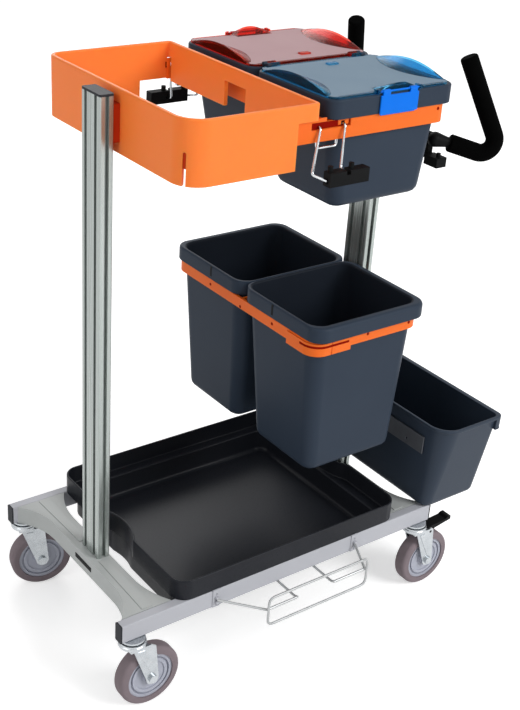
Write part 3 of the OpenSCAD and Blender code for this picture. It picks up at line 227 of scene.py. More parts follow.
# Smallest radius that a corner keeps when its outline is drawn in
LEAST_R = 0.6
# Edges that turn by more degrees than this stay sharp in the shading
SHARP_ANGLE = 40
ROD_SIDES = 24
# A rod's rims are eased by this much, or by this share of its radius where that is less
ROD_EASE = 0.6
ROD_EASE_SHARE = 0.2
BLOCK_EASE = 0.8


def rounded(x, y, r):
    """Rectangle in plan with rounded corners, one radius at its low x end and one at its high x end."""
    corners = (((x[0] + r[0], y[0] + r[0]), r[0], 180), ((x[1] - r[1], y[0] + r[1]), r[1], 270),
               ((x[1] - r[1], y[1] - r[1]), r[1], 0), ((x[0] + r[0], y[1] - r[0]), r[0], 90))
    points = []
    for (cx, cy), radius, first in corners:
        for k in range(CORNER_STEPS + 1):
            a = math.radians(first + 90 * k / CORNER_STEPS)
            points.append((cx + radius * math.cos(a), cy + radius * math.sin(a)))
    return points


def smaller(shape, d):
    """The same rounded rectangle, smaller all round by d."""
    x, y, r = shape
    return ((x[0] + d, x[1] - d), (y[0] + d, y[1] - d), tuple(max(v - d, LEAST_R) for v in r))


def between(a, b, t):
    """Rounded rectangle part of the way from a to b."""
    return tuple(tuple(p + (q - p) * t for p, q in zip(m, n)) for m, n in zip(a, b))


def quarter(r, rising=True):
    """Steps round a quarter circle: distance in from the wall, and height below the flat."""
    turns = [90 * k / ROUND_STEPS for k in range(ROUND_STEPS + 1)]
    steps = [(r * (1 - math.cos(math.radians(a))), r * (1 - math.sin(math.radians(a)))) for a in turns]
    return steps if rising else steps[::-1]


def places(points, z):
    """Points of a plan loop at one height, or each at its own."""
    heights = z if isinstance(z, list) else [z] * len(points)
    return [(px, py, pz) for (px, py), pz in zip(points, heights)]


def loft(bm, levels, ring=False):
    """Skin over plan loops at their heights: closed by a floor at both ends, or joined round as a ring."""
    verts = [bm.verts.new(place) for place in places(*levels[0])]
    edges = [bm.edges.new(pair) for pair in zip(verts, verts[1:] + verts[:1])]
    if not ring:
        bmesh.ops.edgeloop_fill(bm, edges=edges)
    for points, z in levels[1:] + (levels[:1] if ring else []):
        made = bmesh.ops.extrude_edge_only(bm, edges=edges)["geom"]
        fresh = {g for g in made if isinstance(g, bmesh.types.BMVert)}
        verts = [next(e.other_vert(v) for e in v.link_edges if e.other_vert(v) in fresh) for v in verts]
        for vert, place in zip(verts, places(points, z)):
            vert.co = place
        edges = [g for g in made if isinstance(g, bmesh.types.BMEdge) and fresh.issuperset(g.verts)]
    if not ring:
        bmesh.ops.edgeloop_fill(bm, edges=edges)


def ease_edges(bm, edges, offset):
    """Rounds edges off by an offset."""
    bmesh.ops.bevel(bm, geom=list(edges), offset=offset, offset_type="OFFSET", affect="EDGES",
                    segments=EASE_STEPS, profile=ROUND_PROFILE, material=-1)


def rod(bm, axis, centre, length, r):
    """Closed round bar along x or y about its centre, with its rims eased."""
    turn = Matrix.Rotation(math.pi / 2, 4, {"x": "Y", "y": "X"}[axis])
    made = bmesh.ops.create_cone(bm, cap_ends=True, segments=ROD_SIDES, radius1=r, radius2=r, depth=length,
                                 matrix=Matrix.Translation(centre) @ turn)
    # Only the two end faces have more than four corners, so their edges are the rims
    rims = {e for v in made["verts"] for e in v.link_edges if any(len(f.verts) > 4 for f in e.link_faces)}
    ease_edges(bm, rims, min(ROD_EASE, r * ROD_EASE_SHARE))


def block(bm, x, y, z, ease=BLOCK_EASE):
    """Box given by its ranges, with eased edges."""
    middle = Vector(((x[0] + x[1]) / 2, (y[0] + y[1]) / 2, (z[0] + z[1]) / 2))
    size = Matrix.Diagonal((x[1] - x[0], y[1] - y[0], z[1] - z[0], 1))
    made = bmesh.ops.create_cube(bm, size=1, matrix=Matrix.Translation(middle) @ size)
    ease_edges(bm, {e for v in made["verts"] for e in v.link_edges}, ease)


def paint_since(bm, before, index):
    """Gives the faces that were made since then another of the piece's materials."""
    for face in set(bm.faces) - before:
        face.material_index = index


def side_name(far):
    return "far" if far else "near"


def finished(bm, name, body, materials, stands_for=(), far=False):
    """Object made from a bmesh in millimetres, mirrored to the far side if asked, riding on a body."""
    bmesh.ops.scale(bm, vec=(MM, -MM if far else MM, MM), verts=bm.verts)
    bmesh.ops.remove_doubles(bm, verts=bm.verts, dist=SAME_POINT)
    bmesh.ops.recalc_face_normals(bm, faces=bm.faces)
    mesh = bpy.data.meshes.new(name)
    bm.to_mesh(mesh)
    bm.free()
    for material in materials:
        mesh.materials.append(material)
    mesh.polygons.foreach_set("use_smooth", [True] * len(mesh.polygons))
    mesh.set_sharp_from_angle(angle=math.radians(SHARP_ANGLE))
    piece = bpy.data.objects.new(name, mesh)
    scene.collection.objects.link(piece)
    flat = piece.modifiers.new("flat_faces", "WEIGHTED_NORMAL")
    flat.keep_sharp = True
    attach(piece, body)
    if stands_for:
        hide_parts(*stands_for)


# Tubs: bins, boxes and the side bucket, each given by its plan at the foot, at the top and round its rim

TUB_WALL = 3
# Height below the top at which the inner wall has its own level
BELOW_TOP = 60
# Rounding of a rim's lower edge
RIM_EASE = 2
# A rim's outer rounding takes at most this share of the gap to its inner edge
GAP_SHARE = 0.5
# Corners of a rim lose this share of what its sides are drawn in by
CORNER_SHARE = 0.6


def drawn_in(outline, inner, d, r):
    """Outline smaller by d of a rounding r, less on the sides where the inner edge is too near for it."""
    shares = []
    for k in (0, 1):
        gaps = (inner[k][0] - outline[k][0], outline[k][1] - inner[k][1])
        shares.append([min(1, GAP_SHARE * gap / r) for gap in gaps])
    x, y, radii = outline
    (left, right), (front, back) = shares
    return ((x[0] + d * left, x[1] - d * right), (y[0] + d * front, y[1] - d * back),
            tuple(max(v - d * CORNER_SHARE, LEAST_R) for v in radii))


def tub(low, top, z, foot_r, outline, rim_z, rim_r):
    """Open tub from its inner floor up, over its overhanging rim and down to its outer floor.

    rim_z is the height of the rim's lower edge, rim_r its inner and outer rounding.
    """
    floor, height = z
    z_low = floor + foot_r
    inner_r, outer_r = rim_r
    inner = smaller(top, TUB_WALL - inner_r)

    def body(at, d):
        return rounded(*smaller(between(low, top, (at - z_low) / (height - z_low)), d))

    levels = []
    for d, drop in quarter(foot_r - TUB_WALL, False):
        levels.append((body(z_low, TUB_WALL + d), floor + TUB_WALL + drop))
    levels.append((body(height - BELOW_TOP, TUB_WALL), height - BELOW_TOP))
    for d, drop in quarter(inner_r):
        levels.append((body(height, TUB_WALL - d), height - drop))
    for d, drop in quarter(outer_r, False):
        levels.append((rounded(*drawn_in(outline, inner, d, outer_r)), height - drop))
    for d, drop in quarter(RIM_EASE):
        levels.append((rounded(*smaller(outline, d)), rim_z + drop))
    levels.append((body(rim_z, 0), rim_z))
    for d, drop in quarter(foot_r):
        levels.append((body(z_low, d), floor + drop))
    bm = bmesh.new()
    loft(bm, levels)
    return bm


BIN_LOW = ((37.5, 248.5), (-206.5, -28), (24, 24))
BIN_TOP = ((15.5, 261.5), (-218.5, -4), (30, 26))
BIN_RIM = ((10, 276), (-232, -2), (30, 30))
BIN_Z = (374.3, 689.3)
BIN_FOOT = 16
BIN_RIM_Z = 660.3
BIN_RIM_R = (4, 7)
# Slit in the middle of each bin's rim: a black block just proud of the rim, dark like its inside, painted
# shade in the slit's opening
RIM_SLIT_Y = -99
RIM_SLIT = 5.6
RIM_SLIT_Z = (667, 687.5)
RIM_SLIT_PROUD = 0.3
RIM_SLIT_DEEP = 4
RIM_SLIT_EASE = 0.25
# Places of the materials in a bin
SLIT_SHADE = 1
PAINTED_INNER_SHADE = 2
# A wall faces inward where its normal runs against the way out by this much, a floor faces up by this much
FACING_IN = -1
FACING_UP = 0.3


def bin_shell(far):
    side = side_name(far)
    bm = tub(BIN_LOW, BIN_TOP, BIN_Z, BIN_FOOT, BIN_RIM, BIN_RIM_Z, BIN_RIM_R)
    middle = Vector((sum(BIN_LOW[0]) / 2, sum(BIN_LOW[1]) / 2, 0))
    bmesh.ops.recalc_face_normals(bm, faces=bm.faces)
    # Inner walls and the inner floor take the darker slate: painted shade
    for face in bm.faces:
        out = face.calc_center_median() - middle
        is_wall = face.normal.xy.dot(out.xy) < FACING_IN
        is_floor = face.normal.z > FACING_UP and out.z < BIN_Z[0] + BIN_FOOT
        if is_wall or is_floor:
            face.material_index = PAINTED_INNER_SHADE
    before = set(bm.faces)
    front = BIN_RIM[0][0]
    block(bm, (front - RIM_SLIT_PROUD, front + RIM_SLIT_DEEP),
          (RIM_SLIT_Y - RIM_SLIT / 2, RIM_SLIT_Y + RIM_SLIT / 2), RIM_SLIT_Z, RIM_SLIT_EASE)
    paint_since(bm, before, SLIT_SHADE)
    finished(bm, side + "_bin_shell", side + "_bin",
             [slate_plastic, black_nylon, slate_painted_inner_shade], [side + "_bin"], far)


BOX_LOW = ((44.5, 252.5), (-198.5, -23), (26, 26))
BOX_TOP = ((14.5, 264.5), (-208.5, -5), (20, 20))
BOX_COLLAR = ((6, 284), (-217.48, -3), (24, 24))
BOX_Z = (897, 1095.3)
BOX_FOOT = 18
BOX_COLLAR_Z = 1062.3
BOX_COLLAR_R = (1.5, 3)
# Hinge line of the near lid, y and z, and the lugs of the box that carry it
HINGE = (-6, 1099.8)
HINGE_R = 4
LUG_X = (36, 248)
LUG_HALF = 4
LUG_WEB_HALF = 2.5
LUG_SINK = 1


def box_shell(far):
    side = side_name(far)
    bm = tub(BOX_LOW, BOX_TOP, BOX_Z, BOX_FOOT, BOX_COLLAR, BOX_COLLAR_Z, BOX_COLLAR_R)
    for x in LUG_X:
        rod(bm, "x", (x, *HINGE), 2 * LUG_HALF, HINGE_R)
        block(bm, (x - LUG_HALF, x + LUG_HALF), (HINGE[0] - LUG_WEB_HALF, HINGE[0] + LUG_WEB_HALF),
              (BOX_Z[1] - LUG_SINK, HINGE[1]))
    finished(bm, side + "_box_shell", side + "_box", [slate_plastic], [side + "_box"], far)


BUCKET_LOW = ((345, 494), (-232, 232), (22, 22))
BUCKET_TOP = ((340, 496), (-263, 263), (45, 14))
BUCKET_RIM = ((337.5, 504), (-266, 266), (46, 14))
BUCKET_Z = (198.3, 397.3)
BUCKET_FOOT = 14
BUCKET_RIM_Z = 390.3
BUCKET_RIM_R = (1.4, 2.2)
# Lip that hangs from the rim on the handle side, closed by a web at both ends
LIP = ((484, 504), (-266, 266), (2, 14))
LIP_Z = (367.3, 392)
LIP_WALL = 2.5
LIP_END = 3
LIP_DEEP = 9
LIP_EASE = 0.8
# Two hooks over the steel strip of the bucket's bracket
STRIP_TOP = 365.3
STRIP_BACK = 336.5
HOOK_Y = 80
HOOK_HALF = 12
HOOK_WALL = 3
HOOK_GAP = 0.3
HOOK_DROP = 12
HOOK_ROOT = 2


def lip_plan(d, thick):
    """Plan of the lip on the bucket's handle side: outer line drawn in by d, inner line, end webs."""
    turn = CORNER_STEPS + 1
    x0 = LIP[0][0]
    web_x = x0 + LIP_END
    y0, y1 = LIP[1]

    def corners(inset):
        return rounded(*smaller(LIP, inset))[turn:3 * turn]

    outer = [(x0, y0 + d)] + corners(d) + [(x0, y1 - d)]
    far_end = [(x0, y1 - LIP_DEEP), (web_x, y1 - LIP_DEEP), (web_x, y1 - thick)]
    near_end = [(web_x, y0 + thick), (web_x, y0 + LIP_DEEP), (x0, y0 + LIP_DEEP)]
    return outer + far_end + corners(thick)[::-1] + near_end


def bucket_shell():
    bm = tub(BUCKET_LOW, BUCKET_TOP, BUCKET_Z, BUCKET_FOOT, BUCKET_RIM, BUCKET_RIM_Z, BUCKET_RIM_R)
    lip = [(lip_plan(d, LIP_WALL), LIP_Z[0] + drop) for d, drop in quarter(LIP_EASE, False)]
    loft(bm, lip[::-1] + [(lip_plan(0, LIP_WALL), LIP_Z[1])])
    reach = HOOK_GAP + HOOK_WALL
    hook = (STRIP_BACK - reach, STRIP_BACK - HOOK_GAP)
    for y in (-HOOK_Y, HOOK_Y):
        wide = (y - HOOK_HALF, y + HOOK_HALF)
        block(bm, (hook[0], BUCKET_TOP[0][0] + HOOK_ROOT), wide, (STRIP_TOP + HOOK_GAP, STRIP_TOP + reach))
        block(bm, hook, wide, (STRIP_TOP - HOOK_DROP, STRIP_TOP + reach))
    finished(bm, "side_bucket_shell", "side_bucket", [bucket_plastic], ["side_bucket"])


# Lids: a frosted panel whose two ends rise into polished arches

LID_X = (11, 273)
LID_Y = (-213.48, -8)
LID_Z = (1095.6, 1099.1)
LID_WALL = 2.4
LID_CORNER = 18
LID_RISE = 15
LID_ARCH = 42
# The arches end this far from the lid's long sides, and are at least this long there
ARCH_MARGIN = 5
LEAST_REACH = 3
ARCH_STEPS = 8
PANEL_STEPS = 44
LID_STEPS = 2 * ARCH_STEPS + PANEL_STEPS
ACROSS_STEPS = 60
# Places of the materials in a lid
FROSTED = 0
POLISHED = 1
CLEAR_EDGE = 6
# Arch over the latch
LATCH_X = 150
LATCH_HALF = 42
LATCH_PIN_Y = -217.88
FINGER_RISE = 12
FINGER_HALF = 40
FINGER_DEEP = 25
# Knuckles of the hinge, and the play beside each
KNUCKLE = 18
PLAY = 0.4
# Raised tab on the panel
TAB_HALF = 11
TAB_Y = (-45, -34)
TAB_Z = (LID_Z[1] - 1, LID_Z[1] + 3)
# Ears that carry the latch pin
EAR = 6
EAR_ROOT = 6
EAR_TOP = 3.5


def finger_arch(x, y):
    """Height of the arch over the latch, falling away toward the lid's middle."""
    bow = 1 - ((x - LATCH_X) / FINGER_HALF) ** 2
    return FINGER_RISE * max(min(bow, 1 - (y - LID_Y[0]) / FINGER_DEEP), 0)


def lid_top(u, v):
    """Point of the lid's top: u counts steps along it from its low x end, v runs across it from -1 to 1."""
    half = (LID_Y[1] - LID_Y[0]) / 2
    middle = (LID_Y[0] + LID_Y[1]) / 2
    arch = max(1 - (v * half / (half - ARCH_MARGIN)) ** 2, 0)
    reach = max(LID_ARCH * arch, LEAST_REACH)
    length = LID_X[1] - LID_X[0]
    if u <= ARCH_STEPS:
        along = reach * u / ARCH_STEPS
    elif u >= LID_STEPS - ARCH_STEPS:
        along = length - reach * (LID_STEPS - u) / ARCH_STEPS
    else:
        along = reach + (length - 2 * reach) * (u - ARCH_STEPS) / PANEL_STEPS
    inset = min(along, length - along)
    rise = max(LID_RISE * (arch - inset / LID_ARCH), 0)
    narrow = 0
    if inset < LID_CORNER:
        narrow = LID_CORNER - math.sqrt(LID_CORNER ** 2 - (LID_CORNER - inset) ** 2)
    x = LID_X[0] + along
    y = middle + v * (half - narrow)
    return Vector((x, y, LID_Z[1] + rise + finger_arch(x, y)))


def lid_fittings(bm):
    """Hinge knuckles, the tab on the panel and the two ears of the latch."""
    away = LUG_HALF + PLAY + KNUCKLE / 2
    for x in (LUG_X[0] + away, LUG_X[1] - away):
        rod(bm, "x", (x, *HINGE), KNUCKLE, HINGE_R)
    block(bm, (LATCH_X - TAB_HALF, LATCH_X + TAB_HALF), TAB_Y, TAB_Z)
    for way in (-1, 1):
        x = LATCH_X + way * (LATCH_HALF + EAR / 2 + PLAY)
        wide = (x - EAR / 2, x + EAR / 2)
        block(bm, wide, (LATCH_PIN_Y, LID_Y[0] + EAR_ROOT), (LID_Z[0], HINGE[1] + EAR_TOP))
        rod(bm, "x", (x, LATCH_PIN_Y, HINGE[1]), EAR, HINGE_R)


def lid_shell(far, frost, clear):
    side = side_name(far)
    bm = bmesh.new()
    bmesh.ops.create_grid(bm, x_segments=LID_STEPS, y_segments=ACROSS_STEPS, size=1)
    for face in bm.faces:
        step = (face.calc_center_median().x + 1) / 2 * LID_STEPS
        face.material_index = FROSTED if ARCH_STEPS < step < LID_STEPS - ARCH_STEPS else POLISHED
    for vert in bm.verts:
        vert.co = lid_top(round((vert.co.x + 1) / 2 * LID_STEPS), vert.co.y)
    for face in bm.faces:
        middle = face.calc_center_median()
        edge = min(middle.y - LID_Y[0], LID_Y[1] - middle.y)
        if edge < CLEAR_EDGE or finger_arch(middle.x, middle.y) > 0:
            face.material_index = POLISHED
    rim = [e for e in bm.edges if e.is_boundary]
    skirt = bmesh.ops.extrude_edge_only(bm, edges=rim)["geom"]
    for part in skirt:
        if isinstance(part, bmesh.types.BMVert):
            part.co.z = LID_Z[0]
        elif isinstance(part, bmesh.types.BMFace):
            part.material_index = POLISHED
    bmesh.ops.recalc_face_normals(bm, faces=bm.faces)
    bmesh.ops.solidify(bm, geom=bm.faces[:], thickness=LID_WALL)
    before = set(bm.faces)
    lid_fittings(bm)
    paint_since(bm, before, POLISHED)
    finished(bm, side + "_lid_shell", side + "_lid", [frost, clear],
             [side + "_lid"], far)


# Latches: a plate with a catch under it that hangs from a pin by two arms

LATCH_Z = (1061.5, 1094)
LATCH_SKIN = -217.98
LATCH_WALL = 3.5
LATCH_EASE = 1.5
# Catch under the plate: its inset from the ends, and its ranges from the plate's back and lower edge
CATCH_INSET = 4
CATCH_Y = (-1, 2)
CATCH_Z = (-2, 0.4)
CATCH_EASE = 0.5
# Arms: their places along the plate, width, how far they are set in from its front and back, and their lap
ARM_X = (-30, 30)
ARM_WIDE = 16
ARM_FRONT = 0.4
ARM_BACK = 0.1
ARM_LAP = 2
ARM_EASE = 0.6
ARM_EYE_R = 3.4
PIN_R = 1.6
PIN_OVER = 1.6


def latch_shell(far, material):
    side = side_name(far)
    bm = bmesh.new()
    low, high = LATCH_Z
    wide = (LATCH_X - LATCH_HALF, LATCH_X + LATCH_HALF)
    front = LATCH_SKIN - LATCH_WALL
    block(bm, wide, (front, LATCH_SKIN), LATCH_Z, LATCH_EASE)
    block(bm, (wide[0] + CATCH_INSET, wide[1] - CATCH_INSET),
          (LATCH_SKIN + CATCH_Y[0], LATCH_SKIN + CATCH_Y[1]),
          (low + CATCH_Z[0], low + CATCH_Z[1]), CATCH_EASE)
    for x in ARM_X:
        arm = (LATCH_X + x - ARM_WIDE / 2, LATCH_X + x + ARM_WIDE / 2)
        block(bm, arm, (front + ARM_FRONT, LATCH_SKIN - ARM_BACK), (high - ARM_LAP, HINGE[1]), ARM_EASE)
        rod(bm, "x", (LATCH_X + x, LATCH_PIN_Y, HINGE[1]), ARM_WIDE, ARM_EYE_R)
    rod(bm, "x", (LATCH_X, LATCH_PIN_Y, HINGE[1]), 2 * LATCH_HALF + PIN_OVER, PIN_R)
    finished(bm, side + "_latch_shell", side + "_latch", [material],
             [side + "_latch"], far)


# Bag hoop: one wall all round, with a rounded rim and a foot that steps up over the frame's arms

HOOP_X = (-272.5, -18.5)
HOOP_HALF = 222.5
HOOP_Z = (990, 1097)
HOOP_WALL = 8
HOOP_RIM_R = 2.8
HOOP_FOOT_R = 1.2
# Corner radii in plan: at the slit, at the box end and at the far left
HOOP_WIDE_R = 45
HOOP_TIGHT_R = 10
HOOP_FAR_R = 24
# Heights of the foot where it steps, and where the steps are
HOOP_STRIP = 1068
HOOP_STEP_X = -63.5
HOOP_APRON = 1025
HOOP_NOTCH = ((-28, 35), 1069.5)
HOOP_FAR_FOOT = ((-87.5, -30.5), 1030)
ARM_WAY = (-200.5, 207)
STEP_WIDE = 0.1
# Slit in the near left corner: heading, half width, height, and headings of the wall's points next to it
SLIT_TURN = 215
SLIT_HALF = 3.2
SLIT_H = 54
SLIT_SIDES = (210, 222)
SLIT_POINTS = (-1, -0.98, -0.6, 0, 0.6, 0.98, 1)
# Degrees from point to point round a corner
WIDE_TURN_STEP = 6
TURN_STEP = 10
# Web in the slit: thickness, lap into the walls, and middle as a share of the slit's height
SLIT_WEB = 3
WEB_LAP = 1
WEB_MIDDLE = 0.76
# Place of the web's material in the hoop
IN_SHADE = 1


def sweep(first, last, step):
    """Headings from the first to the last in even steps."""
    return [first + step * k for k in range((last - first) // step + 1)]


def hoop_stations():
    """Round the hoop: centre and radius of each turn, heading of the wall's outside, height of its foot."""
    (x0, x1), half, foot = HOOP_X, HOOP_HALF, HOOP_Z[0]
    wide, tight, far = HOOP_WIDE_R, HOOP_TIGHT_R, HOOP_FAR_R
    found = []

    def turn(cx, cy, r, headings, z):
        found.extend((cx, cy, r, heading, z) for heading in headings)

    def step(cx, cy, heading, before, after):
        side = math.radians(heading + 90)
        found.append((cx, cy, 0, heading, before))
        found.append((cx + STEP_WIDE * math.cos(side), cy + STEP_WIDE * math.sin(side), 0, heading, after))

    corner = (x0 + wide, -half + wide, wide)
    slit = math.degrees(SLIT_HALF / wide)
    turn(*corner, sweep(180, SLIT_SIDES[0], WIDE_TURN_STEP), foot)
    for k in SLIT_POINTS:
        z = foot if abs(k) == 1 else foot + SLIT_H - SLIT_HALF * (1 - math.sqrt(1 - k * k))
        turn(*corner, [SLIT_TURN + slit * k], z)
    turn(*corner, sweep(SLIT_SIDES[1], 270, WIDE_TURN_STEP), foot)
    step(HOOP_STEP_X, -half, 270, foot, HOOP_STRIP)
    turn(x1 - tight, -half + tight, tight, sweep(270, 360, TURN_STEP), HOOP_STRIP)
    step(x1, ARM_WAY[0], 0, HOOP_STRIP, HOOP_APRON)
    step(x1, HOOP_NOTCH[0][0], 0, HOOP_APRON, HOOP_NOTCH[1])
    step(x1, HOOP_NOTCH[0][1], 0, HOOP_NOTCH[1], HOOP_APRON)
    step(x1, ARM_WAY[1], 0, HOOP_APRON, HOOP_STRIP)
    turn(x1 - tight, half - tight, tight, sweep(0, 90, TURN_STEP), HOOP_STRIP)
    step(HOOP_FAR_FOOT[0][1], half, 90, HOOP_STRIP, HOOP_FAR_FOOT[1])
    step(HOOP_FAR_FOOT[0][0], half, 90, HOOP_FAR_FOOT[1], foot)
    turn(x0 + far, half - far, far, sweep(90, 180, TURN_STEP), foot)
    return found


def slit_web(bm):
    """Web that closes the upper half of the slit, set back from both faces of the wall."""
    a = math.radians(SLIT_TURN)
    r = HOOP_WIDE_R - HOOP_WALL / 2
    middle = Vector((HOOP_X[0] + HOOP_WIDE_R + r * math.cos(a), HOOP_WIDE_R - HOOP_HALF + r * math.sin(a),
                     HOOP_Z[0] + WEB_MIDDLE * SLIT_H))
    size = Matrix.Diagonal((SLIT_WEB, 2 * SLIT_HALF + WEB_LAP, SLIT_H / 2, 1))
    turned = Matrix.Rotation(a, 4, "Z")
    bmesh.ops.create_cube(bm, size=1, matrix=Matrix.Translation(middle) @ turned @ size)


def hoop_shell():
    stations = hoop_stations()
    top = HOOP_Z[1]

    def line(d):
        found = []
        for cx, cy, r, heading, _ in stations:
            a = math.radians(heading)
            found.append((cx + (r - d) * math.cos(a), cy + (r - d) * math.sin(a)))
        return found

    def foot(rise):
        return [station[4] + rise for station in stations]

    levels = []
    for d, drop in quarter(HOOP_FOOT_R, False):
        levels.append((line(HOOP_WALL - d), foot(drop)))
    for d, drop in quarter(HOOP_RIM_R):
        levels.append((line(HOOP_WALL - d), top - drop))
    for d, drop in quarter(HOOP_RIM_R, False):
        levels.append((line(d), top - drop))
    for d, drop in quarter(HOOP_FOOT_R):
        levels.append((line(d), foot(drop)))
    bm = bmesh.new()
    loft(bm, levels, True)
    before = set(bm.faces)
    slit_web(bm)
    paint_since(bm, before, IN_SHADE)
    finished(bm, "bag_hoop_shell", "frame", [hoop_orange, painted_half_shade_orange], ["bag_hoop"])


# Painted shade in the bin frame: dark inserts in the small holes along its band and in a slot round its clasp

HOLLOW_R = 3.1
HOLLOW_LONG = 2
# How far the dark inserts stand out of the face they are in
HOLLOW_SKIN = 0.3
BAND = (11, -223)
BAND_HOLES_Y = ((-100, 649.5), (0, 643), (100, 649.5))
BAND_HOLES_X = ((137, 652.5), (237, 652.5))
CLASP = (8, -226)
CLASP_R = 31
CLASP_SLOT_Z = (648.7, 652.9)
CLASP_SLOT_ENDS = (-186, 90)
CLASP_SLOT_DEEP = 1


def inset_from(face):
    """Middle of a dark insert whose front stands just out of a face that is turned to lower values."""
    return face - HOLLOW_SKIN + HOLLOW_LONG / 2


def clasp_slot(bm):
    """Dark strip round the corner of the clasp, painted shade in its slot."""
    def line(d):
        cx = CLASP[0] + CLASP_R
        cy = CLASP[1] + CLASP_R
        turned = [math.radians(180 + 90 * k / CORNER_STEPS) for k in range(CORNER_STEPS + 1)]
        arc = [(cx + (CLASP_R + d) * math.cos(a), cy + (CLASP_R + d) * math.sin(a)) for a in turned]
        return [(CLASP[0] - d, CLASP_SLOT_ENDS[0])] + arc + [(CLASP_SLOT_ENDS[1], CLASP[1] - d)]

    plan = line(HOLLOW_SKIN) + line(-CLASP_SLOT_DEEP)[::-1]
    loft(bm, [(plan, z) for z in CLASP_SLOT_Z])


def bin_frame_painted_shade():
    bm = bmesh.new()
    for y, z in BAND_HOLES_Y:
        rod(bm, "x", (inset_from(BAND[0]), y, z), HOLLOW_LONG, HOLLOW_R)
    for way in (1, -1):
        for x, z in BAND_HOLES_X:
            rod(bm, "y", (x, way * inset_from(BAND[1]), z), HOLLOW_LONG, HOLLOW_R)
    clasp_slot(bm)
    finished(bm, "bin_frame_painted_shade", "frame", [shaded_orange])


# Painted shade in the box frame: dark plates on the floor of each tool holder's seat and a dark insert in a
# hole near its handle end

# Plates of painted shade in each seat: their ranges in x and z
SEAT_SHADES = (((-28, 27), (1050.5, 1061.5)), ((27, 51.5), (1050.5, 1052.5)), ((49.5, 51.5), (1052.5, 1061)))
SEAT_FLOOR = -211.48
SEAT_SINK = 0.5
SEAT_EASE = 0.1
# The far seat is the near one turned half round about this x
SEAT_TURN_X = 8
BOX_BAND = -214.48
BOX_BAND_HOLE = (248, 1055)


def box_frame_painted_shade():
    bm = bmesh.new()
    depth = (SEAT_FLOOR - HOLLOW_SKIN, SEAT_FLOOR + SEAT_SINK)
    for x, z in SEAT_SHADES:
        block(bm, x, depth, z, SEAT_EASE)
        turned = (2 * SEAT_TURN_X - x[1], 2 * SEAT_TURN_X - x[0])
        block(bm, turned, (-depth[1], -depth[0]), z, SEAT_EASE)
    for way in (1, -1):
        x, z = BOX_BAND_HOLE
        rod(bm, "y", (x, way * inset_from(BOX_BAND), z), HOLLOW_LONG, HOLLOW_R)
    finished(bm, "box_frame_painted_shade", "frame", [shaded_orange])


# Foam grips: bored sleeves on the bent tubes, cut square and rounded at both ends

GRIP_NECK = Vector((344, -156, 965))
GRIP_ELBOW = Vector((434, -214, 934))
GRIP_TOP = Vector((368.5, -155, 1120))
GRIP_START = 2.5
GRIP_BEND = 24
GRIP_R = 16.5
GRIP_BORE = 9.85
GRIP_CAP = 3.4
GRIP_LIP = 3
GRIP_TIP = 4.5
GRIP_SIDES = 40
BEND_STEPS = 20


def grip_shell(far):
    side = side_name(far)
    down = (GRIP_NECK - GRIP_ELBOW).normalized()
    up = (GRIP_TOP - GRIP_ELBOW).normalized()
    half = down.angle(up) / 2
    middle = GRIP_ELBOW + (down + up).normalized() * GRIP_BEND / math.sin(half)
    first = GRIP_ELBOW + down * GRIP_BEND / math.tan(half) - middle
    across = up.cross(down).normalized()
    if across.cross(first).dot(down) > 0:
        across = -across
    start = GRIP_NECK - down * GRIP_START

    def ring(place, heading, r):
        other = heading.cross(across)
        turns = [2 * math.pi * k / GRIP_SIDES for k in range(GRIP_SIDES)]
        points = [place + r * (math.cos(a) * across + math.sin(a) * other) for a in turns]
        return [(p.x, p.y) for p in points], [p.z for p in points]

    bend = []
    for k in range(BEND_STEPS + 1):
        arm = Matrix.Rotation((math.pi - 2 * half) * k / BEND_STEPS, 3, across) @ first
        bend.append((middle + arm, across.cross(arm).normalized()))
    levels = [ring(GRIP_TOP - GRIP_CAP * up, up, GRIP_BORE)]
    levels += [ring(place, heading, GRIP_BORE) for place, heading in bend[::-1]]
    levels.append(ring(start, -down, GRIP_BORE))
    levels += [ring(start - down * drop, -down, GRIP_R - d) for d, drop in quarter(GRIP_LIP, False)]
    levels += [ring(place, heading, GRIP_R) for place, heading in bend]
    levels += [ring(GRIP_TOP - up * drop, up, GRIP_R - d) for d, drop in quarter(GRIP_TIP)]
    bm = bmesh.new()
    loft(bm, levels)
    finished(bm, side + "_grip_shell", "frame", [foam], [side + "_grip"], far)


# Tray: a flanged pan with a hollow in each short side for the posts

# Ends in x, half width and corner radius of the raised rim and of the pan
TRAY_RIM = ((-253, 277), 222, 32)
TRAY_PAN = ((-240, 252), 200, 30)
# Heights of the floor, of the shelf round the pan and of the rim
TRAY_Z = (149, 198.3, 240)
TRAY_WALL = 4
# Roundings, inside and outside
TRAY_FLOOR_R = (10, 8)
TRAY_SHELF_R = (3, 1)
TRAY_RIM_R = (1.8, 2.2)
POST_HOLLOW_HALF = 62
POST_HOLLOW_DEEP = 18
POST_HOLLOW_STEPS = 16
# The hollow's points reach past its half width by a margin and by a multiple of what the plan is drawn in by
HOLLOW_MARGIN = 2
HOLLOW_SPREAD = 3


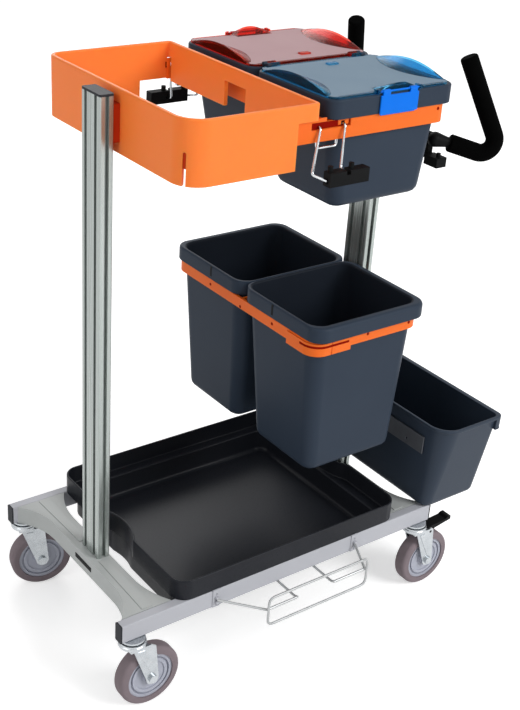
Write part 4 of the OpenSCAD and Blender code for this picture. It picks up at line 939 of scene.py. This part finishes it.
def tray_plan(outline, d):
    """Plan of the tray drawn in by d, with a round hollow in each short side that grows by d."""
    (x0, x1), half, r = outline
    x = (x0 + d, x1 - d)
    rim_x = TRAY_RIM[0]
    big = (POST_HOLLOW_HALF ** 2 + POST_HOLLOW_DEEP ** 2) / (2 * POST_HOLLOW_DEEP)
    wide = POST_HOLLOW_HALF + HOLLOW_SPREAD * d + HOLLOW_MARGIN
    steps = [wide * (2 * k / POST_HOLLOW_STEPS - 1) for k in range(POST_HOLLOW_STEPS + 1)]
    reaches = [math.sqrt((big + d) ** 2 - y * y) for y in steps]
    low_x = rim_x[0] + POST_HOLLOW_DEEP - big
    high_x = rim_x[1] - POST_HOLLOW_DEEP + big
    low_side = [(max(x[0], low_x + reach), y) for y, reach in zip(steps, reaches)]
    high_side = [(min(x[1], high_x - reach), y) for y, reach in zip(steps, reaches)]
    corners = rounded(x, (d - half, half - d), (r - d, r - d))
    turn = CORNER_STEPS + 1
    return corners[:2 * turn] + high_side + corners[2 * turn:] + low_side[::-1]


def tray_shell():
    floor, shelf, top = TRAY_Z
    w = TRAY_WALL

    def rim(d):
        return tray_plan(TRAY_RIM, d)

    def pan(d):
        return tray_plan(TRAY_PAN, d)

    levels = []
    for d, drop in quarter(TRAY_FLOOR_R[0], False):
        levels.append((pan(w + d), floor + w + drop))
    for d, drop in quarter(TRAY_SHELF_R[0]):
        levels.append((pan(w - d), shelf + w - drop))
    for d, drop in quarter(TRAY_SHELF_R[0], False):
        levels.append((rim(w + d), shelf + w + drop))
    for d, drop in quarter(TRAY_RIM_R[0]):
        levels.append((rim(w - d), top - drop))
    for d, drop in quarter(TRAY_RIM_R[1], False):
        levels.append((rim(d), top - drop))
    for d, drop in quarter(TRAY_SHELF_R[1]):
        levels.append((rim(d), shelf + drop))
    levels.append((pan(0), shelf))
    for d, drop in quarter(TRAY_FLOOR_R[1]):
        levels.append((pan(d), floor + drop))
    bm = bmesh.new()
    loft(bm, levels)
    finished(bm, "tray_shell", "tray", [tray_plastic], ["tray"])


for is_far in (False, True):
    bin_shell(is_far)
    box_shell(is_far)
    grip_shell(is_far)
lid_shell(False, blue_frost, blue_clear)
lid_shell(True, red_frost, red_clear)
latch_shell(False, blue_plastic)
latch_shell(True, red_plastic)
bucket_shell()
hoop_shell()
bin_frame_painted_shade()
box_frame_painted_shade()
tray_shell()


# Solids that keep their shape get their finish, and eased edges where the real ones show them

CORNERS = ("near_left", "far_left", "near_right", "far_right")
# Edges that turn by more degrees than this are eased
EASED_ANGLE = 35


def each_corner(part):
    return [corner + "_" + part for corner in CORNERS]


def dress(names, material, ease):
    """Finish for solids of the frame, with their sharp edges eased by some millimetres."""
    for name in names:
        node = nodes[name]
        node.data.materials.clear()
        node.data.materials.append(material)
        if not ease:
            continue
        join = node.modifiers.new("joined", "WELD")
        join.merge_threshold = SAME_POINT
        edge = node.modifiers.new("eased", "BEVEL")
        edge.width = ease * MM
        edge.segments = EASE_STEPS
        edge.limit_method = "ANGLE"
        edge.angle_limit = math.radians(EASED_ANGLE)
        edge.use_clamp_overlap = True
        edge.harden_normals = True


dress(["near_rail", "far_rail", "basket_clips"], rail_paint, 0)
dress(["left_cross_member", "right_cross_member"], cast_paint, 0)
dress(["rail_end_caps", "post_caps", "box_frame_bracket", "bin_frame_bracket"], dark_plastic, 0.6)
dress(["left_post", "right_post"], post_aluminium_painted_reflection, 0)
dress(["post_bolts", "bracket_screws", "slot_nuts", "caster_heads"], zinc, 0)
dress(each_corner("fork") + each_corner("axle"), zinc, 0)
dress(each_corner("hub"), core_plastic, 0)
dress(each_corner("tyre"), tyre_rubber, 0)
dress(["wire_basket"], basket_wire, 0)
dress(["hoop_bracket"], painted_half_shade_orange, 1.2)
dress(["box_frame", "bin_frame"], frame_orange, 0)
dress(["bucket_bracket"], strip_steel, 0.4)
dress(["handle_bar", "handle_bracket", "handle_knuckles", "foot_inserts"], black_nylon, 0)
dress(["near_handle_tube", "far_handle_tube"], black_nylon, 0)
dress(["near_brake_pedal", "far_brake_pedal"], black_nylon, 0.8)
dress(["tool_holder_wires"], tool_wire, 0)
dress(["tool_clips"], rubber, 1.2)


# Camera, floor and light

WHITE = (1, 1, 1, 1)
FLOOR_R = 40.0
FLOOR_SIDES = 64
PAPER_ROUGHNESS = 0.9
# The floor's own light near the cart and beyond the lamps' reach, and the distances in metres for both
FLOOR_LIFT = (0.50, 0.64)
FLOOR_LIFT_AT = (1.5, 4.0)
# Strength of the world where it lights, and where it is seen
WORLD_LIGHT = 0.44
WORLD_SEEN = 1.0
# Soft boxes: name, place, aim, width in metres and power in watts
LAMPS = (("key", (1.5, -3.3, 2.7), (0.1, 0, 0.6), 2.2, 112),
         ("fill", (-3.4, -0.6, 2.4), (0, 0, 0.6), 2.5, 30),
         ("rim", (1.2, 3.4, 2.6), (0, 0, 0.6), 2.2, 36))


def calculated(tree, operation, first, second):
    """Result of arithmetic on two values or sockets."""
    return add(tree, "ShaderNodeMath", {0: first, 1: second}, operation=operation).outputs[0]


def seen_share(tree):
    """One for rays that look at a thing, straight, in a mirror or through glass, and zero for the rest."""
    path = add(tree, "ShaderNodeLightPath").outputs
    straight_or_mirrored = calculated(tree, "MAXIMUM", path["Is Camera Ray"], path["Is Glossy Ray"])
    return calculated(tree, "MAXIMUM", straight_or_mirrored, path["Is Transmission Ray"])


def studio_floor():
    bm = bmesh.new()
    bmesh.ops.create_circle(bm, cap_ends=True, radius=FLOOR_R, segments=FLOOR_SIDES)
    mesh = bpy.data.meshes.new("studio_floor")
    bm.to_mesh(mesh)
    bm.free()
    floor = bpy.data.objects.new("studio_floor", mesh)
    scene.collection.objects.link(floor)
    # Matt paper sweep, lifted to white where it is seen by a little light of its own, more beyond the lamps
    material = bpy.data.materials.new("white_paper")
    tree = empty_tree(material)
    place = add(tree, "ShaderNodeTexCoord")
    away = add(tree, "ShaderNodeVectorMath", {0: place.outputs["Object"]}, operation="LENGTH")
    level = add(tree, "ShaderNodeMapRange",
                {"Value": away.outputs["Value"], "From Min": FLOOR_LIFT_AT[0], "From Max": FLOOR_LIFT_AT[1],
                 "To Min": FLOOR_LIFT[0], "To Max": FLOOR_LIFT[1]})
    lift = calculated(tree, "MULTIPLY", seen_share(tree), level.outputs["Result"])
    paper = add(tree, "ShaderNodeBsdfPrincipled",
                {"Base Color": linear("#f2f2f2"), "Roughness": PAPER_ROUGHNESS, "Emission Color": WHITE,
                 "Emission Strength": lift})
    add(tree, "ShaderNodeOutputMaterial", {"Surface": paper.outputs["BSDF"]})
    mesh.materials.append(material)


def studio_world():
    world = bpy.data.worlds.new("studio")
    scene.world = world
    tree = empty_tree(world)
    level = add(tree, "ShaderNodeMapRange",
                {"Value": seen_share(tree), "To Min": WORLD_LIGHT, "To Max": WORLD_SEEN})
    sky = add(tree, "ShaderNodeBackground", {"Color": WHITE, "Strength": level.outputs["Result"]})
    add(tree, "ShaderNodeOutputWorld", {"Surface": sky.outputs["Background"]})


def soft_box(name, place, aim, size, watts):
    lamp = bpy.data.lights.new(name, "AREA")
    lamp.shape = "DISK"
    lamp.size = size
    lamp.energy = watts
    holder = bpy.data.objects.new(name, lamp)
    scene.collection.objects.link(holder)
    holder.location = place
    holder.rotation_euler = (Vector(aim) - Vector(place)).to_track_quat("-Z", "Y").to_euler()


# Camera found from the photograph's edges: place, heading, tilt and roll in degrees, focal length in pixels
CAMERA_AT = (-1.2582, -1.6874, 1.6274)
CAMERA_TURN = (-38.15, 27.18, 4.15)
FOCAL_PIXELS = 1233.02
IMAGE_HEIGHT = 710
SENSOR = 36
CLIP = (0.05, 100)


def photo_camera():
    heading, tilt, roll = [math.radians(v) for v in CAMERA_TURN]
    right = Vector((math.cos(heading), math.sin(heading), 0))
    ahead = Vector((-math.sin(heading) * math.cos(tilt), math.cos(heading) * math.cos(tilt), -math.sin(tilt)))
    up = right.cross(ahead)
    side = math.cos(roll) * right + math.sin(roll) * up
    top = math.cos(roll) * up - math.sin(roll) * right
    data = bpy.data.cameras.new("photo_camera")
    data.sensor_width = SENSOR
    data.lens = SENSOR * FOCAL_PIXELS / IMAGE_HEIGHT
    data.clip_start, data.clip_end = CLIP
    camera = bpy.data.objects.new("photo_camera", data)
    scene.collection.objects.link(camera)
    turn = Matrix((side, top, -ahead)).transposed().to_4x4()
    camera.matrix_world = Matrix.Translation(CAMERA_AT) @ turn
    scene.camera = camera


photo_camera()
studio_floor()
studio_world()
for lamp_values in LAMPS:
    soft_box(*lamp_values)
scene.view_settings.view_transform = "Standard"
